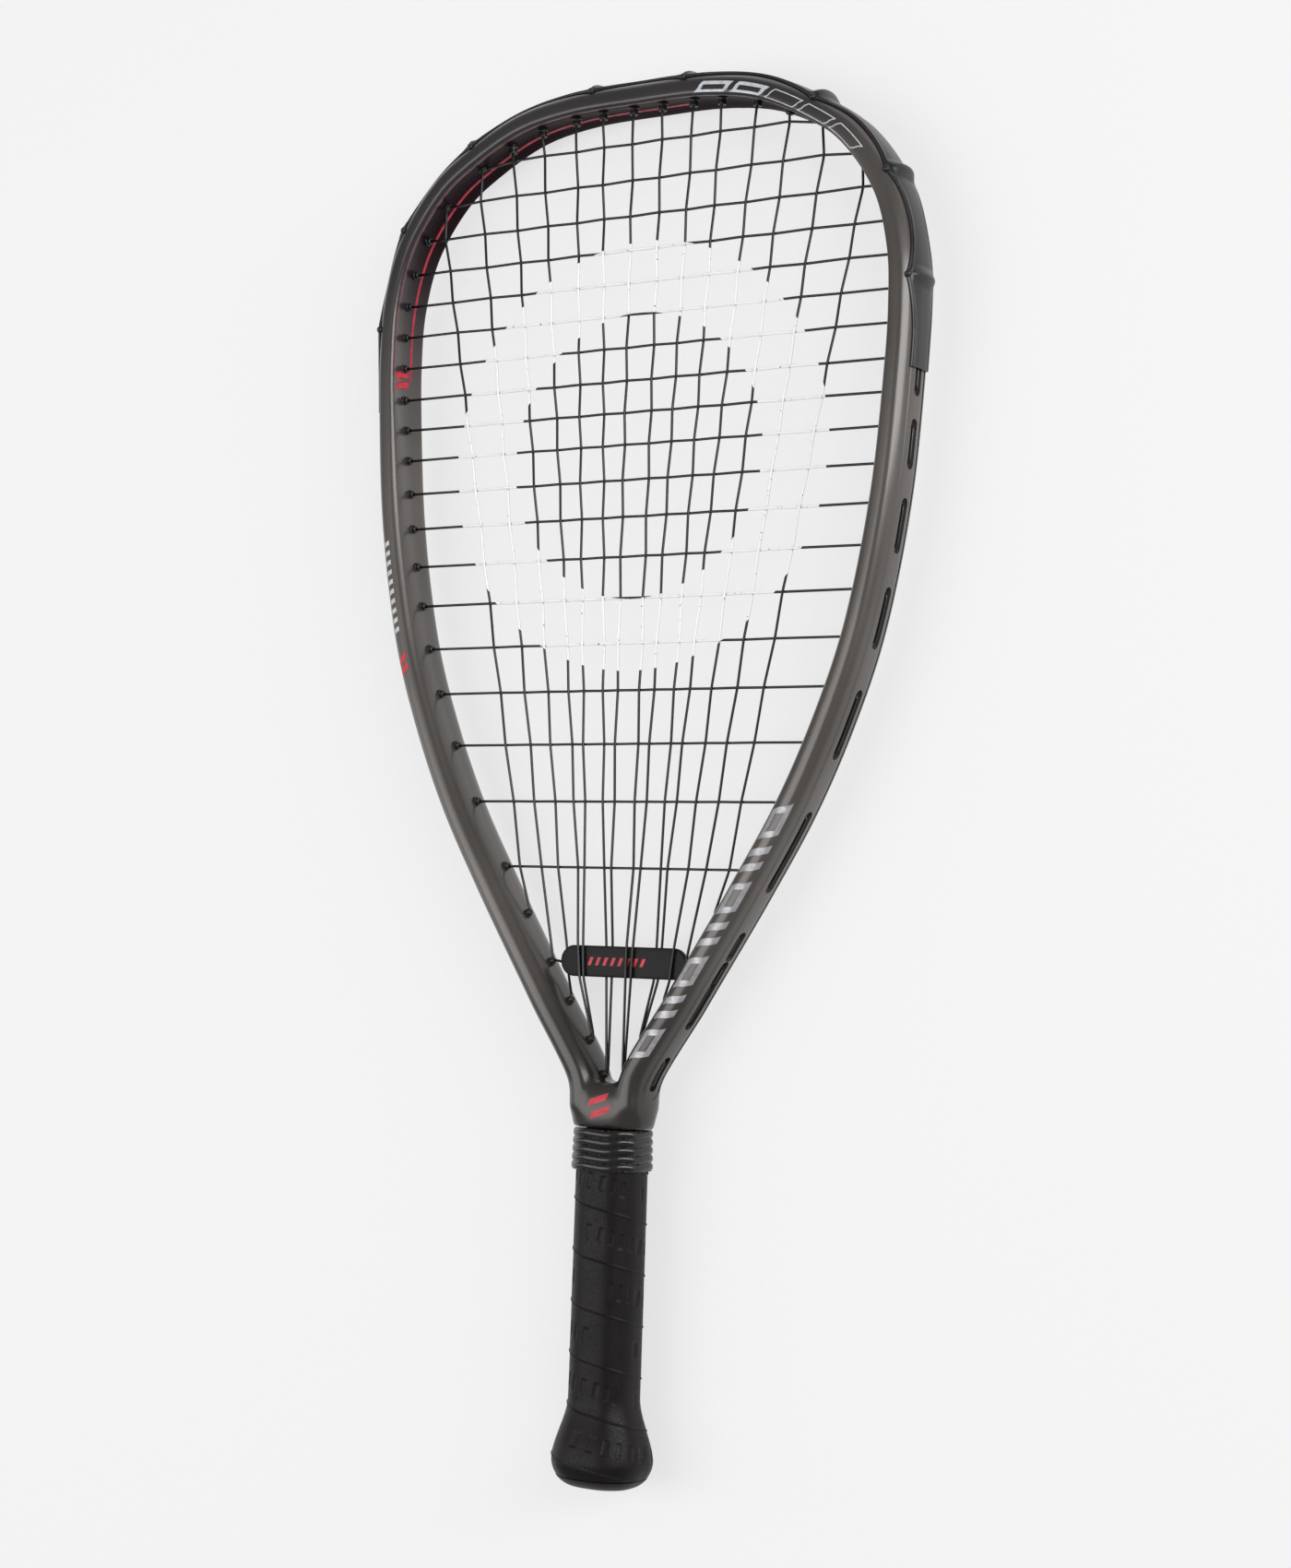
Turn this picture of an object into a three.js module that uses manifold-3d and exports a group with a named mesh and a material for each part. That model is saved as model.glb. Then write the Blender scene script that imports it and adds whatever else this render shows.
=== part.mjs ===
// Racquetball racket: a one-piece teardrop frame, strung with two unbroken woven strings, and its handle.
// Millimetres. The origin is the centre of the butt's end face, +Y runs to the top of the head, +X across
// the head, and +Z out of the front face. The strings lie in the plane Z = 0.
import * as THREE from 'three';
import { mergeVertices } from 'three/addons/utils/BufferGeometryUtils.js';
import Module from 'manifold-3d';

const wasm = await Module();
wasm.setup();

// Driving dimensions
const OVERALL_LENGTH = 558.8;
const HEAD_WIDTH = 254;
const FRAME_WIDTH = 13;
const FRAME_DEPTH = 22.3;
const THROAT_HEIGHT = 158;
const ARM_FOOT_DROP = 12;
const FIT = 0.3;
const OVERRUN = 2;

// The head's section has a dished inner wall between two lips
const LIP_REACH = 4.2;
const DISH_DEPTH = 2.8;
const DISH_WIDTH = 19.6;

// Channel round the outside of the frame, and the strips' pockets for the outside runs of string
const CHANNEL_WIDTH = 11.8;
const CHANNEL_DEPTH = 1.8;
const STRIP_SINK = 0.2;
const STRIP_FOOT_RISE = 5;
const POCKET_WIDTH = 4.6;

// Head guard
const GUARD_THICKNESS = 1;
const GUARD_NUB = 0.7;
const GUARD_NUB_LENGTH = 11;
const GUARD_REACH = 6.5;
const GUARD_TIP_REACH = 9.8;
const GUARD_SCALLOP_LENGTH = 34;

// Strings and their holes
const STRING_DIAMETER = 1.25;
const STRING_CLEARANCE = 0.45;
const STRING_TAIL = 9;
const HOLE_RADIUS = 1.9;
const GROMMET_HOLE_RADIUS = 3.1;
const BED_RISE = 2.4;
const GROMMET_WALL = 0.5;
const GROMMET_LEAD = 0.3;
const GROMMET_NOSE = 1.2;

// String damper
const DAMPER_CLEARANCE = 3.7;
const DAMPER_HEIGHT = 12.4;
const DAMPER_THICKNESS = 2.4;
const DAMPER_OFFSET = 0.5;
const DAMPER_RISE = 1;
const DAMPER_SLANT = 0.6;

// Neck, tang and handle
const NECK_WIDTH = 36;
const NECK_LENGTH = 6.6;
const WEB_SINK = 0.4;
const WEB_ROUND = 2;
const NECK_SHOULDER_WIDTH = 33;
const NECK_SHOULDER_DEPTH = 20.5;
const PALLET_SIDE_WALL = 2.6;
const PALLET_FACE_WALL = 3.2;
const TANG_END = 12;
const GRIP_WIDTH = 29.2;
const GRIP_DEPTH = 25.4;
const GRIP_WRAP = 1.7;
const GRIP_PITCH = 20;
const GRIP_LIP = 0.7;
const COLLAR_LENGTH = 16;
const COLLAR_WIDTH = 33;
const COLLAR_DEPTH = 29;
const COLLAR_RIBS = 5;
const COLLAR_RIB_DEPTH = 0.9;
const BUTT_WIDTH = 41;
const BUTT_DEPTH = 36;
const BUTT_FULL = 10;
const BUTT_START = 37;
const CAP_RIM = 4;
const CAP_ROUND = 2.4;
const CAP_FLOOR = 3;
const CAP_TOP = 29;
const TETHER_HOLE_RADIUS = 2.6;
const TETHER_HOLE_SPACING = 13;

// Sizes that follow from them
const HALF_WIDTH = FRAME_WIDTH / 2;
const HALF_DEPTH = FRAME_DEPTH / 2;
const HEAD_REACH = HEAD_WIDTH / 2 - HALF_WIDTH;
const HEAD_TOP = OVERALL_LENGTH - GUARD_THICKNESS - FIT - HALF_WIDTH;
const HEAD_RISE = HEAD_TOP - THROAT_HEIGHT;
const ARM_FOOT_HEIGHT = THROAT_HEIGHT - ARM_FOOT_DROP;
const WEB_TOP = THROAT_HEIGHT - WEB_SINK;
const BED_BOTTOM = THROAT_HEIGHT + BED_RISE;
const COLLAR_TOP = ARM_FOOT_HEIGHT - NECK_LENGTH;
const COLLAR_BOTTOM = COLLAR_TOP - COLLAR_LENGTH;
const STRING_RADIUS = STRING_DIAMETER / 2;
const WEAVE = (STRING_DIAMETER + STRING_CLEARANCE) / 2;
const CHANNEL_FLOOR = HALF_WIDTH - CHANNEL_DEPTH;
const STRING_SEAT = CHANNEL_FLOOR + FIT + STRING_RADIUS;
const POCKET_REACH = POCKET_WIDTH / 2;
const PALLET_WIDTH = GRIP_WIDTH - 2 * (GRIP_WRAP + FIT);
const PALLET_DEPTH = GRIP_DEPTH - 2 * (GRIP_WRAP + FIT);
const TANG_WIDTH = PALLET_WIDTH - 2 * PALLET_SIDE_WALL;
const TANG_DEPTH = PALLET_DEPTH - 2 * PALLET_FACE_WALL;
const SECTION_POWER = 2.5;
const LIP_POWER = 4;

// The hoop's half centreline from the throat to the top, as shares of HEAD_REACH and HEAD_RISE
const HOOP_SHARES = [
  [0.098, 0], [0.272, 0.0852], [0.502, 0.1967], [0.66, 0.2799], [0.784, 0.3639], [0.878, 0.4478],
  [0.9585, 0.5751], [0.993, 0.6972], [1, 0.7583], [0.99, 0.8142], [0.934, 0.8748], [0.8025, 0.9305],
  [0.686, 0.9562], [0.48, 0.9865], [0.274, 0.998], [0, 1],
];
const ARM_FOOT_SHARE = 0.091;

// How far the section has changed from the throat's oval to the head's dish, by shares of the bed's height
const SECTION_SHARES = [
  [0.217, 0], [0.357, 0.2], [0.485, 0.33], [0.588, 0.49], [0.652, 0.66], [0.716, 0.95], [0.762, 1],
];

// The crosses' heights from the top one to the lowest, as shares of the bed from BED_BOTTOM to HEAD_TOP
const CROSS_SHARES = [
  0.9565, 0.9178, 0.8809, 0.8453, 0.8113, 0.7778, 0.744, 0.7094, 0.6764, 0.6431, 0.6067, 0.5686,
  0.5276, 0.4849, 0.4386, 0.3904, 0.3356, 0.2767, 0.2092, 0.1114,
];

// The mains' places from the outermost to the middle, as shares of HEAD_REACH at two shares of the bed's height
const FAN_TOP_SHARE = 0.9462;
const FAN_BOTTOM_SHARE = 0.1782;
const MAIN_TOP_SHARES = [0.86, 0.688, 0.539, 0.413, 0.28, 0.173, 0.056];
const MAIN_BOTTOM_SHARES = [0.388, 0.31, 0.24, 0.168, 0.141, 0.07, 0.04];

// The throat's own string holes, lowest first, as shares of the bed, and the guard's nubs as shares of it
const THROAT_HOLE_SHARES = { pairInner: 0, pairOuter: 0.034, third: 0.0725, first: 0.1603 };
const NUB_HEIGHT_SHARES = [0.784, 0.891, 0.974];
const NUB_TOP_SHARE = 0.182;
const GUARD_END_SHARE = 0.6953;

// The round end of a pocket, as shares of its half width along it and across it
const POCKET_END_SHARES = [[0.85, 0.5]];

// A quarter of the handle's eight-sided section with its corners eased, as shares of the half sizes
const OCTAGON_SHARES = [[1, 0.36], [0.94, 0.56], [0.6, 0.95], [0.42, 1]];

// The mains in the order that the string takes them, counted from the outermost
const MAIN_ORDER = [0, 1, 2, 3, 5, 4, 6];
const STATIONS = 84;
const up = new THREE.Vector3(0, 0, 1);

const FINISHES = {
  graphite: { color: 0x4b4844, roughness: 0.38, metalness: 0.25 },
  guard: { color: 0x17171a, roughness: 0.42, metalness: 0 },
  nylon: { color: 0x141416, roughness: 0.5, metalness: 0 },
  string: { color: 0x0e0e10, roughness: 0.35, metalness: 0 },
  rubber: { color: 0x121214, roughness: 0.3, metalness: 0 },
  grip: { color: 0x1c1c1e, roughness: 0.55, metalness: 0 },
  foam: { color: 0x8d8b84, roughness: 0.8, metalness: 0 },
};

// Solids from rings

function signedVolume(points, triangles) {
  let total = 0;
  for (const [a, b, c] of triangles) {
    total += points[a].dot(new THREE.Vector3().crossVectors(points[b], points[c])) / 6;
  }
  return total;
}

function solidFrom(points, triangles) {
  const outward = signedVolume(points, triangles) > 0 ? triangles : triangles.map(([a, b, c]) => [a, c, b]);
  const geometry = new THREE.BufferGeometry();
  geometry.setAttribute('position', new THREE.Float32BufferAttribute(points.flatMap((p) => p.toArray()), 3));
  geometry.setIndex(outward.flat());
  return geometry;
}

function capTriangles(ring, offset) {
  const normal = new THREE.Vector3();
  ring.forEach((p, i) => normal.add(new THREE.Vector3().crossVectors(p, ring[(i + 1) % ring.length])));
  normal.normalize();
  const across = new THREE.Vector3().subVectors(ring[1], ring[0]).normalize();
  const along = new THREE.Vector3().crossVectors(normal, across);
  const flat = ring.map((p) => new THREE.Vector2(p.dot(across), p.dot(along)));
  return THREE.ShapeUtils.triangulateShape(flat, []).map((face) => face.map((i) => i + offset));
}

function loft(rings) {
  const count = rings[0].length;
  const triangles = [];
  for (let row = 0; row + 1 < rings.length; row += 1) {
    for (let i = 0; i < count; i += 1) {
      const a = row * count + i;
      const b = row * count + (i + 1) % count;
      triangles.push([a, b, b + count], [a, b + count, a + count]);
    }
  }
  const first = capTriangles(rings[0], 0).map(([a, b, c]) => [a, c, b]);
  const last = capTriangles(rings[rings.length - 1], (rings.length - 1) * count);
  return solidFrom(rings.flat(), [...triangles, ...first, ...last]);
}

function toManifold(geometry) {
  const bare = geometry.clone();
  bare.deleteAttribute('normal');
  bare.deleteAttribute('uv');
  const merged = mergeVertices(bare);
  return new wasm.Manifold(new wasm.Mesh({
    numProp: 3,
    vertProperties: new Float32Array(merged.attributes.position.array),
    triVerts: new Uint32Array(merged.index.array),
  }));
}

function fromManifold(solid) {
  const mesh = solid.getMesh();
  const geometry = new THREE.BufferGeometry();
  geometry.setAttribute('position', new THREE.BufferAttribute(new Float32Array(mesh.vertProperties), 3));
  geometry.setIndex(Array.from(mesh.triVerts));
  return geometry;
}

function cut(geometry, cutters) {
  return fromManifold(cutters.reduce((rest, tool) => rest.subtract(toManifold(tool)), toManifold(geometry)));
}

// The hoop's centreline, and places measured from it

function hoopCurve() {
  const half = HOOP_SHARES.map(([x, y]) => [x * HEAD_REACH, THROAT_HEIGHT + y * HEAD_RISE]);
  half.unshift([ARM_FOOT_SHARE * HEAD_REACH, ARM_FOOT_HEIGHT]);
  const left = half.map(([x, y]) => new THREE.Vector3(-x, y, 0));
  const right = half.slice(0, -1).reverse().map(([x, y]) => new THREE.Vector3(x, y, 0));
  const curve = new THREE.CatmullRomCurve3([...left, ...right], false, 'centripetal');
  curve.arcLengthDivisions = 3000;
  return curve;
}

const hoop = hoopCurve();
const HOOP_LENGTH = hoop.getLength();

function outward(share) {
  const tangent = hoop.getTangentAt(share);
  return new THREE.Vector3(-tangent.y, tangent.x, 0).normalize();
}

function onHoop(share, out, z) {
  return hoop.getPointAt(share).addScaledVector(outward(share), out).addScaledVector(up, z);
}

function solve(target, low, high) {
  const rising = target(high) > target(low);
  let [a, b] = [low, high];
  for (let step = 0; step < 40; step += 1) {
    const middle = (a + b) / 2;
    if ((target(middle) > 0) === rising) b = middle;
    else a = middle;
  }
  return (a + b) / 2;
}

const ARM_START = 0.002;
const HOOP_MIDDLE = 0.5;
const mirrorShare = (share) => 1 - share;
const shareAtHeight = (y, out) => solve((s) => onHoop(s, out, 0).y - y, ARM_START, HOOP_MIDDLE);
const bedHeight = (share) => BED_BOTTOM + share * (HEAD_TOP - BED_BOTTOM);

function sectionPoint(angle, extra) {
  const bend = (value) => Math.sign(value) * Math.abs(value) ** (2 / SECTION_POWER);
  return [(HALF_WIDTH + extra) * bend(Math.cos(angle)), (HALF_DEPTH + extra) * bend(Math.sin(angle))];
}

const sectionAngle = (z, extra) => Math.asin((z / (HALF_DEPTH + extra)) ** (SECTION_POWER / 2));

function dishPoint(angle) {
  const bend = (value) => Math.sign(value) * Math.abs(value) ** (2 / LIP_POWER);
  const z = HALF_DEPTH * bend(Math.sin(angle));
  const dish = DISH_DEPTH * Math.max(1 - (2 * z / DISH_WIDTH) ** 2, 0);
  return [LIP_REACH * bend(Math.cos(angle)) + dish, z];
}

function sectionBlend(y) {
  const place = (y - BED_BOTTOM) / (HEAD_TOP - BED_BOTTOM);
  const next = SECTION_SHARES.findIndex(([height]) => height > place);
  if (next < 0) return 1;
  if (next === 0) return 0;
  const [[low, from], [high, to]] = [SECTION_SHARES[next - 1], SECTION_SHARES[next]];
  return from + ((place - low) / (high - low)) * (to - from);
}

function framePoint(angle, blend) {
  const oval = sectionPoint(angle, 0);
  if (Math.cos(angle) > 0) return oval;
  return dishPoint(angle).map((value, axis) => oval[axis] + blend * (value - oval[axis]));
}

function onWall(share, beyond, z) {
  const blend = sectionBlend(hoop.getPointAt(share).y);
  return onHoop(share, framePoint(Math.PI, blend)[0] - beyond, z);
}

const shareAtWall = (y) => solve((s) => onWall(s, 0, 0).y - y, ARM_START, HOOP_MIDDLE);

// The frame: the hoop with its string channel, the neck and the tang, drilled for the strings

function hoopSection(share) {
  const start = sectionAngle(CHANNEL_WIDTH / 2, 0);
  const steps = 12;
  const blend = sectionBlend(hoop.getPointAt(share).y);
  const points = [[CHANNEL_FLOOR, -CHANNEL_WIDTH / 2], [CHANNEL_FLOOR, CHANNEL_WIDTH / 2]];
  for (let i = 0; i <= steps; i += 1) {
    points.push(framePoint(start + (i / steps) * 2 * (Math.PI - start), blend));
  }
  return points;
}

const stripFoot = shareAtHeight(ARM_FOOT_HEIGHT + STRIP_FOOT_RISE, 0);
const evenShares = Array.from({ length: STATIONS + 1 }, (_, i) => i / STATIONS);
const frameShares = [...evenShares, stripFoot, mirrorShare(stripFoot)].sort((a, b) => a - b);

function sweepHoop(sectionAt, shares) {
  return loft(shares.map((share) => sectionAt(share).map(([out, z]) => onHoop(share, out, z))));
}

function ovalRing(width, depth, y) {
  const ring = [];
  const count = 16;
  for (let i = 0; i < count; i += 1) {
    const angle = (i / count) * 2 * Math.PI;
    const [x, z] = sectionPoint(angle, 0);
    ring.push(new THREE.Vector3((x / HALF_WIDTH) * width / 2, y, (z / HALF_DEPTH) * depth / 2));
  }
  return ring;
}

function neckAndTang() {
  const shoulder = COLLAR_TOP + FIT;
  const rise = ARM_FOOT_HEIGHT - shoulder;
  const web = 2 * ARM_FOOT_SHARE * HEAD_REACH;
  const webDepth = FRAME_DEPTH - FIT;
  return loft([
    ovalRing(TANG_WIDTH, TANG_DEPTH, TANG_END),
    ovalRing(TANG_WIDTH, TANG_DEPTH, shoulder),
    ovalRing(NECK_SHOULDER_WIDTH, NECK_SHOULDER_DEPTH, shoulder + FIT),
    ovalRing(NECK_WIDTH, FRAME_DEPTH, shoulder + 0.7 * rise),
    ovalRing(NECK_WIDTH, FRAME_DEPTH, ARM_FOOT_HEIGHT + 0.15 * rise),
    ovalRing(web, webDepth, ARM_FOOT_HEIGHT + rise / 2),
    ovalRing(web, webDepth, WEB_TOP - WEB_ROUND),
    ovalRing(web - 2 * WEB_ROUND, webDepth - 2 * WEB_ROUND, WEB_TOP),
  ]);
}

function stringHoles() {
  const crosses = CROSS_SHARES.map((share) => shareAtWall(bedHeight(share)));
  const tops = MAIN_TOP_SHARES.map((share, i) => {
    if (i < 2) return crosses[1 - i];
    const miss = (s) => {
      const wall = onWall(s, 0, 0);
      return wall.x + mainPlace(i, wall.y);
    };
    return solve(miss, crosses[0], HOOP_MIDDLE);
  });
  const { pairInner, pairOuter, third, first } = THROAT_HOLE_SHARES;
  const lowest = crosses[crosses.length - 1];
  const [h1, h2, h3, h5] = [pairInner, pairOuter, third, first].map((share) => shareAtWall(bedHeight(share)));
  return { crosses, tops, bottoms: [h5, lowest, h3, h2, h2, h1, h1], throat: [h1, h2, h3, lowest, h5] };
}

function mainPlace(index, y) {
  const [bottom, top] = [bedHeight(FAN_BOTTOM_SHARE), bedHeight(FAN_TOP_SHARE)];
  const rise = (y - bottom) / (top - bottom);
  const [low, high] = [MAIN_BOTTOM_SHARES[index], MAIN_TOP_SHARES[index]].map((share) => share * HEAD_REACH);
  return low + rise * (high - low);
}

const holes = stringHoles();
const isThroatHole = (share) => holes.throat.some((hole) => Math.abs(hole - share) < ARM_START / STATIONS);
const hasGrommet = (share) => isThroatHole(share) || isThroatHole(mirrorShare(share));

function holeCutter(share, radius, from, to) {
  const tool = new THREE.CylinderGeometry(radius, radius, to - from, 6);
  tool.applyQuaternion(new THREE.Quaternion().setFromUnitVectors(new THREE.Vector3(0, 1, 0), outward(share)));
  const middle = onHoop(share, (from + to) / 2, 0);
  return tool.translate(middle.x, middle.y, middle.z);
}

const bothSides = (shares) => [...shares, ...shares.map(mirrorShare)];

function allHoleShares() {
  return [...new Set([...holes.crosses, ...holes.tops, ...holes.throat])];
}

function frame() {
  const whole = toManifold(sweepHoop(hoopSection, frameShares)).add(toManifold(neckAndTang()));
  const tools = allHoleShares().flatMap((share) => {
    const radius = hasGrommet(share) ? GROMMET_HOLE_RADIUS : HOLE_RADIUS;
    return bothSides([share]).map((s) => holeCutter(s, radius, -HALF_WIDTH - OVERRUN, HALF_WIDTH + OVERRUN));
  });
  return cut(fromManifold(whole), tools);
}

// The head guard: a strip round the top half with scalloped flanges and rub nubs

function nubShares() {
  const out = HALF_WIDTH + FIT;
  const sides = NUB_HEIGHT_SHARES.map((share) => shareAtHeight(bedHeight(share), out));
  const top = solve((s) => onHoop(s, out, 0).x + NUB_TOP_SHARE * HEAD_REACH, sides[2], HOOP_MIDDLE);
  return [...bothSides(sides), top, mirrorShare(top)];
}

function swell(distance, length) {
  const near = Math.abs(distance) / (length / 2);
  return near < 1 ? (1 - near * near) ** 2 : 0;
}

function guardRing(share, nubs) {
  const gap = Math.min(...nubs.map((nub) => Math.abs(nub - share))) * HOOP_LENGTH;
  const reach = GUARD_REACH + (GUARD_TIP_REACH - GUARD_REACH) * swell(gap, GUARD_SCALLOP_LENGTH);
  const proud = GUARD_NUB * swell(gap, GUARD_NUB_LENGTH);
  const columns = 4;
  const turn = sectionAngle(reach, FIT);
  const ring = [];
  for (let i = 0; i <= columns; i += 1) {
    const middle = 1 - Math.abs(2 * i / columns - 1);
    const [out, z] = sectionPoint(turn * (2 * i / columns - 1), FIT + GUARD_THICKNESS);
    ring.push(onHoop(share, out + proud * middle, z));
  }
  for (let i = columns; i >= 0; i -= 1) {
    const [out, z] = sectionPoint(turn * (2 * i / columns - 1), FIT);
    ring.push(onHoop(share, out, z));
  }
  return ring;
}

function headGuard() {
  const nubs = nubShares();
  const start = shareAtHeight(bedHeight(GUARD_END_SHARE), HALF_WIDTH);
  const even = 56;
  const shares = Array.from({ length: even + 1 }, (_, i) => start + (i / even) * (mirrorShare(start) - start));
  const half = GUARD_NUB_LENGTH / 2 / HOOP_LENGTH;
  const close = half / 2;
  const far = shares.filter((s) => nubs.every((nub) => Math.abs(nub - s) > half + close));
  const shaped = nubs.flatMap((nub) => [nub - half, nub - close, nub, nub + close, nub + half]);
  return loft([...far, ...shaped].sort((a, b) => a - b).map((share) => guardRing(share, nubs)));
}

// Grommet strips in the channel, and the throat's single grommets

function outsideRuns(side) {
  const { crosses, tops: [, , m3, m4, m5, m6, m7], bottoms: [h5, h4, h3, h2, , h1] } = holes;
  const tail = STRING_TAIL / HOOP_LENGTH;
  const runs = [[h1, h2], [h3, h4], [h5 - tail, h5], [m3, m4], [m5, m6], [m7, mirrorShare(m7)]];
  const start = side < 0 ? 0 : 1;
  for (let j = start; j + 1 < crosses.length; j += 2) runs.push([crosses[j + 1], crosses[j]]);
  if (side > 0) runs.push([crosses[1], crosses[0] + tail], [h4, h4 + tail]);
  return runs;
}

function pocketCutter([from, to], place) {
  const steps = Math.max(1, Math.round(((to - from) * HOOP_LENGTH) / FRAME_WIDTH));
  const cap = POCKET_REACH / HOOP_LENGTH;
  const ends = POCKET_END_SHARES.map(([along, across]) => [along * cap, across]);
  const stations = ends.map(([along, across]) => [from - along, across]);
  for (let i = 0; i <= steps; i += 1) stations.push([from + (i / steps) * (to - from), 1]);
  stations.push(...ends.reverse().map(([along, across]) => [to + along, across]));
  return loft(stations.map(([share, across]) => {
    const half = POCKET_REACH * across;
    const corners = [[0, -half], [HALF_WIDTH + OVERRUN, -half], [HALF_WIDTH + OVERRUN, half], [0, half]];
    return corners.map(([out, z]) => onHoop(place(share), out, z));
  }));
}

function stripSection() {
  const half = CHANNEL_WIDTH / 2 - FIT;
  const turn = sectionAngle(half, -STRIP_SINK);
  const crown = [-1, 0, 1].map((part) => sectionPoint(turn * part, -STRIP_SINK));
  return [...crown, [CHANNEL_FLOOR + FIT, half], [CHANNEL_FLOOR + FIT, -half]];
}

function grommetStrip(side) {
  const to = HOOP_MIDDLE - FIT / HOOP_LENGTH;
  const place = side < 0 ? (share) => share : mirrorShare;
  const shares = [...frameShares.filter((share) => share >= stripFoot && share < to), to];
  const band = sweepHoop(stripSection, shares.map(place));
  return cut(band, outsideRuns(side).map((run) => pocketCutter(run, place)));
}

function throatGrommet(share) {
  const outer = GROMMET_HOLE_RADIUS - FIT;
  const bore = outer - GROMMET_WALL;
  const nose = -HALF_WIDTH - GROMMET_NOSE;
  const profile = [
    [bore + GROMMET_LEAD, nose], [outer, nose], [outer, CHANNEL_FLOOR], [bore, CHANNEL_FLOOR],
    [bore, nose + GROMMET_LEAD], [bore + GROMMET_LEAD, nose],
  ].map(([radius, out]) => new THREE.Vector2(radius, out));
  const geometry = new THREE.LatheGeometry(profile, 6);
  geometry.applyQuaternion(new THREE.Quaternion().setFromUnitVectors(new THREE.Vector3(0, 1, 0), outward(share)));
  const middle = onHoop(share, 0, 0);
  return geometry.translate(middle.x, middle.y, middle.z);
}

// Strings

function tube(points, radius, sides) {
  const rings = points.map((point, i) => {
    const before = new THREE.Vector3().subVectors(point, points[Math.max(i - 1, 0)]).normalize();
    const after = new THREE.Vector3().subVectors(points[Math.min(i + 1, points.length - 1)], point).normalize();
    const along = new THREE.Vector3().addVectors(before, after).normalize();
    const across = new THREE.Vector3().crossVectors(along, up).normalize();
    const over = new THREE.Vector3().crossVectors(across, along);
    const ends = i === 0 || i === points.length - 1;
    const mitre = ends ? 1 : 1 / Math.max(along.dot(after), Math.SQRT1_2);
    return Array.from({ length: sides }, (_, k) => {
      const angle = (k / sides) * 2 * Math.PI;
      const shift = across.clone().multiplyScalar(Math.cos(angle) * radius * mitre);
      return point.clone().add(shift).addScaledVector(over, Math.sin(angle) * radius);
    });
  });
  return loft(rings);
}

const MAIN_COUNT = 2 * MAIN_TOP_SHARES.length;
const mainIndex = (k) => Math.min(k, MAIN_COUNT - 1 - k);
const mainSide = (k) => (k < MAIN_COUNT / 2 ? -1 : 1);
const sideShare = (share, side) => (side < 0 ? share : mirrorShare(share));
const mainIsOver = (k, j) => (k + j) % 2 === 0;

function crossHasMain(k, j) {
  const index = mainIndex(k);
  const y = bedHeight(CROSS_SHARES[j]);
  const top = onWall(holes.tops[index], 0, 0).y;
  const bottom = onWall(holes.bottoms[index], 0, 0).y;
  return y < top - 2 * STRING_DIAMETER && y > bottom + 2 * STRING_DIAMETER;
}

function crossing(k, j, sign) {
  const y = bedHeight(CROSS_SHARES[j]);
  return new THREE.Vector3(mainSide(k) * mainPlace(mainIndex(k), y), y, sign * WEAVE);
}

function grooveRun(from, to, z) {
  const length = Math.abs(to - from) * HOOP_LENGTH;
  const steps = Math.ceil(length / HALF_WIDTH);
  const points = [];
  for (let i = 0; i <= steps; i += 1) {
    points.push(onHoop(from + (i / steps) * (to - from), STRING_SEAT, z));
  }
  return points;
}

const mouth = (share, z) => onWall(share, hasGrommet(share) ? GROMMET_NOSE : STRING_RADIUS, z);

function mainSpan(k) {
  const points = [];
  for (let j = CROSS_SHARES.length - 1; j >= 0; j -= 1) {
    if (crossHasMain(k, j)) points.push(crossing(k, j, mainIsOver(k, j) ? 1 : -1));
  }
  return points;
}

function mainHeight(k) {
  const sharesHole = mainIndex(k) > 2;
  return sharesHole && !mainIsOver(k, CROSS_SHARES.length - 1) ? -WEAVE : WEAVE;
}

function mainsPath() {
  const order = [...MAIN_ORDER, ...MAIN_ORDER.map((k) => MAIN_COUNT - 1 - k).reverse()];
  const foot = (k) => sideShare(holes.bottoms[mainIndex(k)], mainSide(k));
  const head = (k) => sideShare(holes.tops[mainIndex(k)], mainSide(k));
  const first = order[0];
  const last = order[order.length - 1];
  const tail = STRING_TAIL / HOOP_LENGTH;
  const points = grooveRun(foot(first) - tail, foot(first), mainHeight(first));
  order.forEach((k, place) => {
    const rising = place % 2 === 0;
    const next = order[place + 1];
    const [near, far] = rising ? [foot, head] : [head, foot];
    const [nearZ, farZ] = rising ? [mainHeight(k), WEAVE] : [WEAVE, mainHeight(k)];
    const span = rising ? mainSpan(k) : mainSpan(k).reverse();
    points.push(mouth(near(k), nearZ), ...span, mouth(far(k), farZ));
    if (next !== undefined) points.push(...grooveRun(far(k), far(next), farZ));
  });
  points.push(...grooveRun(foot(last), foot(last) + tail, mainHeight(last)));
  return points;
}

function crossSpan(j) {
  const points = [];
  for (let k = 0; k < MAIN_COUNT; k += 1) {
    if (crossHasMain(k, j)) points.push(crossing(k, j, mainIsOver(k, j) ? -1 : 1));
  }
  return points;
}

function crossesPath() {
  const tail = STRING_TAIL / HOOP_LENGTH;
  const first = mirrorShare(holes.crosses[0]);
  const points = grooveRun(first - tail, first, -WEAVE);
  holes.crosses.forEach((share, j) => {
    const leftward = j % 2 === 0;
    const [near, far] = leftward ? [1, -1] : [-1, 1];
    const span = leftward ? crossSpan(j).reverse() : crossSpan(j);
    points.push(mouth(sideShare(share, near), -WEAVE), ...span, mouth(sideShare(share, far), -WEAVE));
    const next = holes.crosses[j + 1];
    if (next !== undefined) points.push(...grooveRun(sideShare(share, far), sideShare(next, far), -WEAVE));
    else points.push(...grooveRun(sideShare(share, far), sideShare(share, far) - tail, -WEAVE));
  });
  return points;
}

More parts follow.
